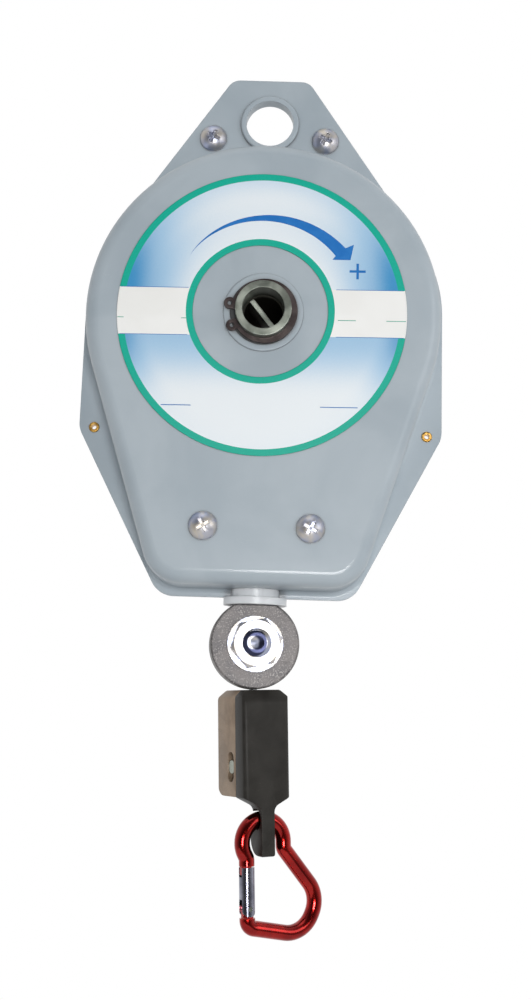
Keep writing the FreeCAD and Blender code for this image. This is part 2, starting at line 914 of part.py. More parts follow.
def pawl():
    """Pawl that drops behind a tooth; the tip follows the tooth's back so that it can ride over."""
    step = 360 / ratchet_teeth
    post_z = pawl_post_z()
    tip_in = ratchet_point(ratchet_root_r + pawl_tip_gap, pawl_tip_deg)
    tip_out = ratchet_point(ratchet_tip_r + pawl_tip_over, pawl_tip_deg)
    over_tooth = ratchet_point(ratchet_tip_r + pawl_ride_over, pawl_tip_deg + step + pawl_back_deg)
    along_x = tip_out[0] - pawl_post_x
    along_z = tip_out[1] - post_z
    length = math.hypot(along_x, along_z)
    off_x = -along_z / length * pawl_boss_r
    off_z = along_x / length * pawl_boss_r
    outer = (pawl_post_x + off_x, post_z + off_z, 0)
    inner = (pawl_post_x - off_x, post_z - off_z, 0)
    rear = ratchet_front_y + ratchet_thick
    arm = plate(outline([tip_in, tip_out, outer, inner, over_tooth]), ratchet_front_y, rear)
    boss = rod_y(pawl_boss_r, pawl_post_x, post_z, ratchet_front_y, rear)
    before, behind = ratchet_front_y - cut_over, rear + cut_over
    bore = rod_y(pawl_post_r + running_gap, pawl_post_x, post_z, before, behind)
    return arm.fuse(boss).cut(bore).removeSplitter()


def pawl_post():
    """Shouldered post on the rear cover that the pawl turns on."""
    z = pawl_post_z()
    wall = rear_depth - sheet
    shoulder = ratchet_front_y + ratchet_thick + pawl_coil_h + 2 * running_gap
    foot = rod_y(pawl_post_foot_r, pawl_post_x, z, shoulder, wall)
    head_rear = ratchet_front_y - pawl_head_gap
    pin = rod_y(pawl_post_r, pawl_post_x, z, head_rear - fuse_in, wall)
    head = rod_y(pawl_post_foot_r, pawl_post_x, z, head_rear - pawl_head_h, head_rear)
    return foot.fuse(pin).fuse(head)


def pawl_spring():
    """Torsion spring round the post; one leg presses on the pawl, the other on the pan's wall."""
    z = pawl_post_z()
    front = ratchet_front_y + ratchet_thick + running_gap
    rear = front + pawl_coil_h
    coil = tube_y(pawl_coil_r, pawl_coil_r - pawl_wire, front, rear, pawl_post_x, z)
    y_mid = (front + rear - pawl_wire) / 2
    leg_top = z + pawl_coil_r
    leg_end = pawl_post_x + pawl_leg_length
    leg = block(pawl_post_x, leg_end, y_mid, y_mid + pawl_wire, leg_top - pawl_wire, leg_top)
    leg.rotate(FreeCAD.Vector(pawl_post_x, 0, z), FreeCAD.Vector(0, -1, 0), pawl_leg_deg)
    wall_x = pawl_post_x - pawl_coil_r
    wall_z = hub_z + math.sqrt((pan_r - sheet) ** 2 - wall_x ** 2) - pawl_wall_gap
    wall_leg = block(wall_x, wall_x + pawl_wire, y_mid, y_mid + pawl_wire, z, wall_z)
    return coil.fuse(leg).fuse(wall_leg).removeSplitter()


def rope_outlet_bush():
    """Nylon bush trapped in the foot of the covers, flared inside where the rope slants in."""
    top = pan_foot_z + sheet + outlet_collar_h
    wall_top = pan_foot_z + sheet
    foot = flange_foot_z - outlet_flange_h
    points = [
        (outlet_bore_r, foot),
        (outlet_flange_r, foot),
        (outlet_flange_r, flange_foot_z),
        (outlet_sleeve_r, flange_foot_z),
        (outlet_sleeve_r, wall_top),
        (outlet_collar_r, wall_top),
        (outlet_collar_r, top),
        (outlet_flare_r, top),
    ]
    spots = [FreeCAD.Vector(r, 0, z) for r, z in points]
    edges = []
    for a, b in zip(spots, spots[1:]):
        edges.append(Part.LineSegment(a, b).toShape())
    throat = FreeCAD.Vector(outlet_bore_r, 0, flange_foot_z)
    drop = top - flange_foot_z
    bulge = (outlet_flare_r - outlet_bore_r) * outlet_flare_bulge
    middle = FreeCAD.Vector(outlet_bore_r + bulge, 0, flange_foot_z + drop * outlet_flare_at)
    edges.append(Part.Arc(spots[-1], middle, throat).toShape())
    edges.append(Part.LineSegment(throat, spots[0]).toShape())
    face = Part.Face(Part.Wire(edges))
    return face.revolve(FreeCAD.Vector(0, 0, 0), FreeCAD.Vector(0, 0, 1), 360)


def rope_tube(edges, radius):
    """Rope of a given radius along a path of lines and tangent arcs."""
    path = Part.Wire(edges)
    start = edges[0].valueAt(edges[0].FirstParameter)
    direction = edges[0].tangentAt(edges[0].FirstParameter)
    profile = Part.Wire(Part.makeCircle(radius, start, direction))
    return path.makePipeShell([profile], True, False)


def rope_lead():
    """Rope from the drum, slanting down and bending into the vertical in the outlet bush."""
    leave, angle = rope_exit()
    corner = FreeCAD.Vector(0, 0, outlet_corner_z())
    end = FreeCAD.Vector(0, 0, flange_foot_z)
    start, middle, finish = round_corner(leave, corner, end, outlet_bend_r)
    edges = [
        Part.LineSegment(leave, start).toShape(),
        Part.Arc(start, middle, finish).toShape(),
        Part.LineSegment(finish, end).toShape(),
    ]
    return rope_tube(edges, rope_r)


def stop_top_z():
    """Top flat of the rope stop, just under the outlet bush at rest."""
    return flange_foot_z - outlet_flange_h - stop_gap


def stop_z():
    """Height of the rope stop's centre."""
    return stop_top_z() - stop_flat


def clamp_top_z():
    """Top of the rope clamp, just under the rope stop."""
    return stop_z() - stop_r - clamp_gap


def ferrule_top_z():
    """Top of the ferrule inside the rope clamp."""
    return clamp_top_z() - ferrule_drop


def stop_bend_z(side):
    """Height of the rope's bend above (1) or below (-1) the rope stop's bolt."""
    return stop_z() + side * (stop_flat - stop_rope_bend_r / 2)


def stop_path(top, bottom):
    """Rope's path through the rope stop, round one side of its bolt; below it the rope leans."""
    side = m10_hole_r + rope_r + stop_rope_play
    centre_z = stop_z()
    corner_up = stop_bend_z(1) - centre_z
    away = math.acos(side / corner_up)
    touch_x = -side * math.sin(away)
    touch_up = side * math.cos(away)
    upper = FreeCAD.Vector(0, 0, stop_bend_z(1))
    lower = FreeCAD.Vector(0, 0, stop_bend_z(-1))
    above = FreeCAD.Vector(touch_x, 0, centre_z + touch_up)
    below = FreeCAD.Vector(touch_x, 0, centre_z - touch_up)
    first = FreeCAD.Vector(0, 0, top)
    lean = math.radians(hang_lean_deg)
    hang = lower.z - bottom
    last = lower + FreeCAD.Vector(math.sin(lean), 0, -math.cos(lean)) * hang
    a, a_mid, b = round_corner(first, upper, above, stop_rope_bend_r)
    c, c_mid, d = round_corner(below, lower, last, stop_rope_bend_r)
    beside = FreeCAD.Vector(-side, 0, centre_z)
    return [
        Part.LineSegment(first, a).toShape(),
        Part.Arc(a, a_mid, b).toShape(),
        Part.LineSegment(b, above).toShape(),
        Part.Arc(above, beside, below).toShape(),
        Part.LineSegment(below, c).toShape(),
        Part.Arc(c, c_mid, d).toShape(),
        Part.LineSegment(d, last).toShape(),
    ]


def rope_run():
    """Rope between the outlet bush and the rope stop; it lengthens as the rope is pulled."""
    return rod_z(rope_r, stop_top_z(), flange_foot_z)


def rope_tail():
    """Rope through the rope stop and down into the clamp's ferrule."""
    tail = rope_tube(stop_path(stop_top_z(), ferrule_top_z()), rope_r)
    return turned(tail, stop_turn_deg)


def stop_half_disc(side):
    """Half of the rope stop: a thick disc with a flat top, bored for the bolt and grooved for the rope."""
    y_from, y_to = min(0, side * stop_half), max(0, side * stop_half)
    disc = rod_y(stop_r, 0, stop_z(), y_from, y_to)
    disc = disc.makeFillet(stop_edge_r, edges_at(disc, side * stop_half))
    before, behind = y_from - cut_over, y_to + cut_over
    above = block(-stop_r, stop_r, before, behind, stop_top_z(), stop_top_z() + stop_r)
    bore = rod_y(m10_hole_r, 0, stop_z(), before, behind)
    way = stop_path(stop_top_z() + cut_over, stop_z() - stop_r - cut_over)
    groove = rope_tube(way, rope_r + stop_rope_play)
    return turned(disc.cut(above).cut(bore).cut(groove), stop_turn_deg)


def rope_stop_front():
    """Front half of the rope stop."""
    return stop_half_disc(-1)


def rope_stop_rear():
    """Rear half of the rope stop."""
    return stop_half_disc(1)


def stop_washers():
    """Washer under the nut and washer under the bolt head."""
    faces = [-stop_half - m10_washer_h, stop_half]
    washers = [tube_y(m10_washer_r, m10_hole_r, y, y + m10_washer_h, 0, stop_z()) for y in faces]
    return turned(Part.makeCompound(washers), stop_turn_deg)


def stop_nut():
    """Nut that clamps the rope stop from the front."""
    body = nut(m10_flats, m10_nut_h, m10_r, 0, stop_z(), -stop_half - m10_washer_h - m10_nut_h, -1)
    body.rotate(FreeCAD.Vector(0, 0, stop_z()), FreeCAD.Vector(0, -1, 0), stop_nut_turn_deg)
    return turned(body, stop_turn_deg)


def stop_bolt():
    """Bolt through the rope stop, with its head at the rear and its end standing out of the nut."""
    seat = stop_half + m10_washer_h
    end = -seat - m10_nut_h - m10_end
    shank = rod_y(m10_r, 0, stop_z(), end, seat)
    shank = shank.makeChamfer(m10_end_chamfer, edges_at(shank, end))
    before = end - cut_over
    profile = [(0, before), (m10_dimple_r, before), (m10_dimple_r, end), (0, end + m10_dimple_depth)]
    dimple = ring_y(profile, 0, stop_z())
    head = nut(m10_flats, m10_head_h, m10_r / 2, 0, stop_z(), seat, 1)
    plug = rod_y(m10_r, 0, stop_z(), seat, seat + m10_head_h - m10_head_dish)
    return turned(shank.fuse(head).fuse(plug).cut(dimple), stop_turn_deg)


def clamp_foot_z():
    """Underside of the rope clamp's flanks."""
    return clamp_top_z() - clamp_height


def hook_eye_z():
    """Height of the eye that carries the carabiner."""
    return clamp_foot_z() - eye_hole_drop


def clamp_top_bevels():
    """Wedges that cut the sloping shoulders off the top of the rope clamp."""
    top = clamp_top_z()
    wide = clamp_half_w + cut_over
    deep = clamp_half_d + cut_over
    low = top - clamp_bevel_h * (1 + cut_over / clamp_bevel_in)
    cuts = []
    for side in (-1, 1):
        inner = clamp_half_w - clamp_shoulder_in
        corners = [
            (side * inner, top, 0),
            (side * wide, top - (wide - inner), 0),
            (side * wide, top + cut_over, 0),
            (side * inner, top + cut_over, 0),
        ]
        cuts.append(plate(outline(corners), -deep, deep))
        bevel_top = side * (clamp_half_d - clamp_bevel_in)
        spots = [(bevel_top, top), (side * deep, low), (side * deep, top + cut_over)]
        spots += [(bevel_top, top + cut_over), (bevel_top, top)]
        profile = Part.makePolygon([FreeCAD.Vector(-wide, y, z) for y, z in spots])
        cuts.append(Part.Face(profile).extrude(FreeCAD.Vector(2 * wide, 0, 0)))
    return Part.makeCompound(cuts)


def ferrule_room():
    """Space for the rope and its ferrule, open to the front so that they can be laid in."""
    reach = ferrule_r + ferrule_play
    rope_way = rope_r + ferrule_play
    top = ferrule_top_z()
    front = clamp_split - cut_over
    cup_foot, cup_top = top - ferrule_h - ferrule_play, top + ferrule_play
    cup = rod_z(reach, cup_foot, cup_top)
    cup_front = block(-reach, reach, front, 0, cup_foot, cup_top)
    above = clamp_top_z() + cut_over
    bore = rod_z(rope_way, top, above)
    bore_front = block(-rope_way, rope_way, front, 0, top, above)
    return cup.fuse(cup_front).fuse(bore).fuse(bore_front)


def cross_pin_z():
    """Height of the pin that carries the clamp's front half."""
    return clamp_top_z() - cross_pin_drop


def clamp_screw_z():
    """Height of the screw that closes the rope clamp."""
    return clamp_top_z() - clamp_screw_drop


def flank_edges(shape):
    """Edges of the clamp that lie wholly in one of its flanks."""
    return [e for e in shape.Edges if all(abs(abs(v.Point.x) - clamp_half_w) < same_place for v in e.Vertexes)]


def clamp_rear():
    """Rear half of the rope clamp: block with rounded feet, ferrule room and the slot of the cross pin."""
    top = clamp_top_z()
    foot = clamp_foot_z()
    body = block(-clamp_half_w, clamp_half_w, clamp_split, clamp_half_d, foot, top)
    body = body.makeFillet(clamp_back_r, edges_at(body, clamp_half_d))
    body = body.cut(clamp_top_bevels()).cut(ferrule_room())
    pin_z = cross_pin_z()
    wide = clamp_half_w + cut_over
    slot = rod_x(cross_pin_r, 0, pin_z, wide)
    for rise in (-cross_pin_slot, cross_pin_slot):
        slot = slot.fuse(rod_x(cross_pin_r, 0, pin_z + rise, wide))
    half, deep = lug_half + lug_play, clamp_split + lug_depth + lug_play
    tall = lug_half_h + lug_play
    front, rear = clamp_split - cut_over, clamp_half_d + cut_over
    pocket = block(-half, half, front, deep, pin_z - tall, pin_z + tall)
    screw_z = clamp_screw_z()
    hole = rod_y(clamp_screw_r, 0, screw_z, front, rear)
    seat_r = clamp_screw_head_r + clamp_screw_seat_play
    seat = rod_y(seat_r, 0, screw_z, clamp_half_d - clamp_screw_head_h, rear)
    body = body.cut(slot).cut(pocket).cut(hole).cut(seat)
    return hanging(turned(body, clamp_turn_deg))


def tongue_outline():
    """Front view of the clamp's front half: square flanks, a waist and the hook tongue."""
    top = clamp_top_z()
    foot = clamp_foot_z()
    waist = foot - clamp_waist
    right = [
        (clamp_half_w, top, 0),
        (clamp_half_w, foot, clamp_corner_r),
        (tongue_half, waist, tongue_fillet),
        (tongue_half, foot - tongue_drop, tongue_corner_r),
    ]
    return outline(mirrored(right))


def clamp_front():
    """Front half of the rope clamp: plate and tongue in one, a lug for the cross pin, and the hook eye."""
    body = plate(tongue_outline(), -clamp_half_d, clamp_split)
    front_edges = [e for e in flank_edges(body) if e.BoundBox.YMax < -clamp_half_d + on_line]
    body = body.makeFillet(clamp_edge_r, front_edges)
    foot = clamp_foot_z()
    low = foot - tongue_drop
    eye_z = hook_eye_z()
    web_top = foot - clamp_waist - tongue_fillet
    web = block(-tongue_half, tongue_half, clamp_split, tongue_rear, low, web_top)
    body = body.fuse(web)
    wide = tongue_half + cut_over
    nose_y, nose_z = tongue_rear - tongue_nose_r, low + tongue_nose_r
    nose_cut = block(-wide, wide, nose_y, tongue_rear + cut_over, low - cut_over, nose_z)
    body = body.cut(nose_cut.cut(rod_x(tongue_nose_r, nose_y, nose_z, wide)))
    pin_z = cross_pin_z()
    lug_rear = clamp_split + lug_depth
    lug_foot, lug_top = pin_z - lug_half_h, pin_z + lug_half_h
    lug = block(-lug_half, lug_half, clamp_split - fuse_in, lug_rear, lug_foot, lug_top)
    body = body.fuse(lug).cut(rod_x(cross_pin_r, 0, pin_z, clamp_half_w))
    body = body.cut(clamp_top_bevels())
    body = body.cut(rod_x(eye_hole_r, hook_eye_y(), eye_z, clamp_half_w))
    bite = clamp_split - clamp_screw_bite
    body = body.cut(rod_y(clamp_screw_r, 0, clamp_screw_z(), bite, clamp_split + cut_over))
    return hanging(turned(body.removeSplitter(), clamp_turn_deg))


def hook_eye_y():
    """Depth of the hook eye, midway through the tongue."""
    return (tongue_rear - clamp_half_d) / 2


def cross_pin():
    """Pin through both flanks and the lug."""
    pin = rod_x(cross_pin_r, 0, cross_pin_z(), clamp_half_w - pin_inset)
    return hanging(turned(pin, clamp_turn_deg))


def clamp_screw():
    """Screw that closes the clamp from the rear."""
    z = clamp_screw_z()
    seat = clamp_half_d - clamp_screw_head_h
    head = rod_y(clamp_screw_head_r, 0, z, seat, clamp_half_d - pin_inset)
    shank = rod_y(clamp_screw_r, 0, z, clamp_split - clamp_screw_bite, seat)
    socket = hexagon(clamp_socket_flats, 0, z, clamp_half_d - clamp_socket_depth, clamp_half_d)
    return hanging(turned(head.fuse(shank).cut(socket), clamp_turn_deg))


def rope_ferrule():
    """Swaged ferrule on the rope's end, round so that the clamp can turn on it."""
    top = ferrule_top_z()
    body = rod_z(ferrule_r, top - ferrule_h, top)
    ends = [e for e in body.Edges if len(e.Vertexes) == 1]
    return hanging(body.makeChamfer(ferrule_chamfer, ends))


def to_hook(shape):
    """Carry a shape from the carabiner's own plane to the hook eye of the turned clamp."""
    shape.translate(FreeCAD.Vector(0, hook_eye_y(), hook_eye_z()))
    return hanging(turned(shape, clamp_turn_deg))


def leaf(u_from, u_to, z_from, z_to):
    """Flat leaf in the carabiner's plane."""
    return block(u_from, u_to, -leaf_half, leaf_half, z_from, z_to)


def carabiner_path():
    """Centre line of the bent bar, from the nose over the loop and down the spine to the gate's hinge."""
    centre = FreeCAD.Vector(0, 0, -loop_r)
    nose_end = FreeCAD.Vector(nose_u, 0, -nose_end_drop)
    nose_bend = FreeCAD.Vector(nose_u, 0, -nose_bend_drop)
    pinch = FreeCAD.Vector(pinch_u, 0, -pinch_drop)
    left_touch = tangent_point(centre, nose_bend, -1)
    right_touch = tangent_point(centre, pinch, 1)
    top = FreeCAD.Vector(0, 0, 0)
    a, a_mid, b = round_corner(nose_end, nose_bend, left_touch, nose_bend_r)
    lower = [
        (right_touch.x, right_touch.z, 0),
        (pinch_u, -pinch_drop, pinch_bend_r),
        (spine_low_u, -spine_low_drop, spine_bend_r),
        (belly_u, -belly_drop, belly_bend_r),
        (nose_u, -heel_drop, heel_bend_r),
        (nose_u, -hinge_drop, 0),
    ]
    edges = [Part.LineSegment(nose_end, a).toShape(), Part.Arc(a, a_mid, b).toShape()]
    joined_line(edges, b, left_touch)
    edges.append(Part.Arc(left_touch, top, right_touch).toShape())
    return edges + rounded_edges(lower, False)


def tangent_point(centre, spot, side):
    """Where a line from a spot outside the loop touches it."""
    across = spot - centre
    swing = math.acos(loop_r / across.Length)
    angle = math.atan2(across.z, across.x) + side * swing
    return centre + FreeCAD.Vector(math.cos(angle), 0, math.sin(angle)) * loop_r


def hinge_pin_z():
    """Height of the gate's hinge pin below the hook eye."""
    return -hinge_drop + hinge_stem


def carabiner_body():
    """Bent bar with a thin latch leaf at its nose and a thin hinge leaf at its heel."""
    bar = rope_tube(carabiner_path(), wire_r)
    inner_edge = wire_r - latch_wall - leaf_play
    outer_edge = nose_u - wire_r + latch_inset
    latch = leaf(outer_edge, nose_u + inner_edge, -nose_end_drop - latch_depth, -nose_end_drop + fuse_in)
    pin_z = hinge_pin_z()
    knuckle_r = wire_r - hinge_inset
    stem = leaf(nose_u - knuckle_r, nose_u + knuckle_r, -hinge_drop - fuse_in, pin_z)
    knuckle = rod_y(knuckle_r, nose_u, pin_z, -leaf_half, leaf_half)
    bore = rod_y(gate_pin_r, nose_u, pin_z, -wire_r, wire_r)
    return to_hook(bar.fuse(latch).fuse(stem).fuse(knuckle).cut(bore).removeSplitter())


def gate_bar():
    """Gate's bar before it is slotted."""
    top = -nose_end_drop - gate_gap
    pin_z = hinge_pin_z()
    bar = Part.makeCylinder(wire_r, top - pin_z, FreeCAD.Vector(nose_u, 0, pin_z))
    heel = rod_y(wire_r - gate_inset, nose_u, pin_z, -wire_r, wire_r)
    column = Part.makeCylinder(wire_r, 2 * wire_r, FreeCAD.Vector(nose_u, 0, pin_z - wire_r))
    return bar.fuse(heel.common(column)).removeSplitter()


def carabiner_gate():
    """Sprung gate: slotted at its foot for the hinge leaf and at its head for the latch leaf."""
    top = -nose_end_drop - gate_gap
    pin_z = hinge_pin_z()
    half = leaf_half + leaf_play
    outside = nose_u - 2 * wire_r
    slot_top = pin_z + wire_r + gate_slot_over
    foot_slot = block(outside, nose_u + 2 * wire_r, -half, half, pin_z - 2 * wire_r, slot_top)
    latch_floor = top + gate_gap - latch_depth - latch_floor_gap
    latch_side = nose_u + wire_r - latch_wall
    latch_slot = block(outside, latch_side, -half, half, latch_floor, top + cut_over)
    bore = rod_y(gate_pin_r + gate_pin_play, nose_u, pin_z, -2 * wire_r, 2 * wire_r)
    return to_hook(gate_bar().cut(foot_slot).cut(latch_slot).cut(bore))


def gate_pin():
    """Rivet that the gate turns on."""
    half = wire_r - gate_inset
    return to_hook(rod_y(gate_pin_r, nose_u, hinge_pin_z(), -half, half))


def gate_spring():
    """Leaf spring folded into the foot of the gate, standing on the hinge leaf."""
    low = hinge_pin_z() + wire_r - hinge_inset
    high = hinge_pin_z() + wire_r + gate_slot_over
    left, right = nose_u - gate_spring_reach, nose_u + gate_spring_reach
    width = gate_spring_half_w
    foot = block(left, right, -width, width, low, low + gate_spring_thick)
    rise = block(right - gate_spring_thick, right, -width, width, low, high)
    head = block(left, right, -width, width, high - gate_spring_thick, high)
    return to_hook(foot.fuse(rise).fuse(head).removeSplitter())


def build():
    """Every separate piece of the balancer by its node name."""
    return {
        "front_cover": front_cover(),
        "rear_cover": rear_cover(),
        "label_disc": label_disc(),
        "upper_screws": upper_screws(),
        "upper_nuts": upper_nuts(),
        "lower_screws": lower_screws(),
        "lower_nuts": lower_nuts(),
        "spacer_tubes": spacer_tubes(),
        "side_eyelets": side_eyelets(),
        "rope_outlet_bush": rope_outlet_bush(),
        "arbor_front_bush": arbor_front_bush(),
        "arbor_rear_bush": arbor_rear_bush(),
        "arbor_tube": arbor_tube(),
        "arbor_blade": arbor_blade(),
        "front_retaining_ring": front_retaining_ring(),
        "rear_retaining_ring": rear_retaining_ring(),
        "arbor_spacer": arbor_spacer(),
        "ratchet_wheel": ratchet_wheel(),
        "pawl": pawl(),
        "pawl_post": pawl_post(),
        "pawl_spring": pawl_spring(),
        "rope_drum": rope_drum(),
        "drum_lid": drum_lid(),
        "lid_screws": lid_screws(),
        "drum_front_bush": drum_front_bush(),
        "drum_rear_bush": drum_rear_bush(),
        "power_spring": power_spring(),
        "wound_rope": wound_rope(),
        "rope_lead": rope_lead(),
        "rope_run": rope_run(),
        "rope_tail": rope_tail(),
        "rope_ferrule": rope_ferrule(),
        "rope_stop_front": rope_stop_front(),
        "rope_stop_rear": rope_stop_rear(),
        "stop_washers": stop_washers(),
        "stop_bolt": stop_bolt(),
        "stop_nut": stop_nut(),
        "clamp_front": clamp_front(),
        "clamp_rear": clamp_rear(),
        "cross_pin": cross_pin(),
        "clamp_screw": clamp_screw(),
        "carabiner_body": carabiner_body(),
        "carabiner_gate": carabiner_gate(),
        "gate_pin": gate_pin(),
        "gate_spring": gate_spring(),
    }


os.makedirs("parts", exist_ok=True)
for name, shape in build().items():
    shape.exportStep("parts/" + name + ".step")
    print(name, round(shape.Volume, 1), len(shape.Solids), shape.isValid())
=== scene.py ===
import math

import bmesh
import bpy
from mathutils import Matrix, Vector


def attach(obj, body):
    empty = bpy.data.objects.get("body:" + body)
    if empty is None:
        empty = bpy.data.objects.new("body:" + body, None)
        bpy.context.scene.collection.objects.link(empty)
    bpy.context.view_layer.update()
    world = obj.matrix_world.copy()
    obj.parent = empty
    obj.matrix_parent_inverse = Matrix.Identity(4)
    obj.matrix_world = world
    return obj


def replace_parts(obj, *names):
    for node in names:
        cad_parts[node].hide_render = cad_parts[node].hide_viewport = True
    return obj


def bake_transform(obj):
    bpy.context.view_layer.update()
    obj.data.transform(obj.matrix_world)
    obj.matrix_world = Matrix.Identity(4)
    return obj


# Looks of a spring tool balancer: grey pressed covers with a printed ring label, a rope stop,
# a rope clamp and a red carabiner. Metres, in the frame of the CAD part.

MM = 0.001
HUB = Vector((0.0, 0.0, -80.7))
# The label sits a little off the hub and turned; its hole is off both.
LABEL = HUB + Vector((-0.5, 0.0, -0.3))
LABEL_HOLE = HUB + Vector((-1.1, 0.0, 0.5))
LABEL_TURN = math.radians(0.73)
LABEL_R, LABEL_HOLE_R = 51.8, 24.2
RING_WIDTH = 2.4
BAND_UP, BAND_HALF = 0.3, 8.7
STOP = Vector((0.0, 0.0, -197.8))
STOP_TURN = math.radians(4.5)
LABEL_BACK_Y, LABEL_FRONT_Y = -25.0, -25.25
ARBOR_MOUTH_Y = -31.2
# Rope clamp, given square on before it is turned and leans
CLAMP_TURN, CLAMP_LEAN = math.radians(27.0), math.radians(2.5)
ROPE_BEND_Z = STOP.z - 11.4
HALF_W, SPLIT_Y, BACK_Y = 9.1, -4.0, 11.0
TOP_Z = STOP.z - 16.25
FOOT_Z = TOP_Z - 37.4
PIN_Z, SCREW_Z = TOP_Z - 27.0, TOP_Z - 19.9
CLAMP_FRONT_Y, TONGUE_BACK_Y = -11.0, -1.9
SHOULDER, SHOULDER_X = 2.4, HALF_W - 2.4
EDGE_BREAK = 0.3
PIN_SLOT_R, PIN_TRAVEL = 2.3, 3.0
SCREW_SEAT_R, SCREW_SEAT_DEEP = 3.7, 2.6
ROPE_WAY_R, ROPE_WAY_DEEP = 1.8, 9.0
EYE_R, EYE_BELOW = 3.6, 7.6
# Rope below the bush
FLANGE_FOOT_Z = -181.0
STOP_TOP_Z = -183.9
ROPE_TURNS, ROPE_RINGS, STRAND_R = 75.0, 901, 0.5
# Pan head screws
HEAD_R, HEAD_RISE, DOME_R, SHANK_R, WING = 5.0, 3.4, 6.2, 2.5, 1.35
# Colours of the painted shade in creases, in the arbor's bore and round the bolt's end, and of dust.
CREASE_SHADE, DUST, BORE_SHADE, BOLT_END_SHADE = "4E4640", "9A948A", "24221D", "3A3D55"

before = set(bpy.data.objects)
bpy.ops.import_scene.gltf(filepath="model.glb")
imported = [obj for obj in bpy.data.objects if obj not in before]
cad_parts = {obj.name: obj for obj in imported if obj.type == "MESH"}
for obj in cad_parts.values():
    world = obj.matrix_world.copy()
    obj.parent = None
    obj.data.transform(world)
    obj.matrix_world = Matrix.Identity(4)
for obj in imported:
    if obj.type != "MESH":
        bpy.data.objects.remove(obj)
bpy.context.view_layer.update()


def colour(hexadecimal):
    """Linear colour of an sRGB hexadecimal value."""
    channels = [int(hexadecimal[i:i + 2], 16) / 255 for i in (0, 2, 4)]
    return [c / 12.92 if c <= 0.04045 else ((c + 0.055) / 1.055) ** 2.4 for c in channels] + [1.0]


def add(tree, kind, inputs=None, **settings):
    """Add a node with its settings; an input takes a value or a link from another node's socket."""
    node = tree.nodes.new(kind)
    for name, value in settings.items():
        setattr(node, name, value)
    for name, value in (inputs or {}).items():
        if isinstance(value, bpy.types.NodeSocket):
            tree.links.new(value, node.inputs[name])
        else:
            node.inputs[name].default_value = value
    return node


def calc(tree, operation, *values):
    """Socket of a math node on values or sockets."""
    node = add(tree, "ShaderNodeMath", dict(enumerate(values)), operation=operation)
    return node.outputs[0]


def between(tree, value, low, high, to_low=0.0, to_high=1.0):
    """Socket that eases from one number to another while a value runs from low to high."""
    inputs = {"Value": value, "From Min": low, "From Max": high, "To Min": to_low, "To Max": to_high}
    return add(tree, "ShaderNodeMapRange", inputs, interpolation_type="SMOOTHSTEP").outputs[0]


def mix(tree, factor, first, second):
    """Socket that blends two colours, given as hexadecimal values or sockets."""
    ends = [colour(end) if isinstance(end, str) else end for end in (first, second)]
    node = add(tree, "ShaderNodeMix", {0: factor, 6: ends[0], 7: ends[1]}, data_type="RGBA")
    return node.outputs[2]


def noise(tree, place, size_mm, detail=3.0, distortion=0.0):
    """Socket of a noise whose features measure about size_mm."""
    inputs = {"Vector": place, "Scale": 1 / size_mm, "Detail": detail, "Distortion": distortion}
    return add(tree, "ShaderNodeTexNoise", inputs).outputs["Fac"]


def stretched(tree, place, scale):
    """Coordinates scaled along each axis."""
    return add(tree, "ShaderNodeVectorMath", {0: place, 1: scale}, operation="MULTIPLY").outputs[0]


def around(tree, place, centre):
    """Coordinates (distance from a front-to-back line, depth, 0), which turn a noise into lathe marks."""
    radius = distance_from(tree, place, centre)[0]
    return add(tree, "ShaderNodeCombineXYZ", {0: radius, 1: parted(tree, place)[1]}).outputs[0]


def parted(tree, place):
    """The three numbers of a vector socket."""
    return add(tree, "ShaderNodeSeparateXYZ", {0: place}).outputs[:]


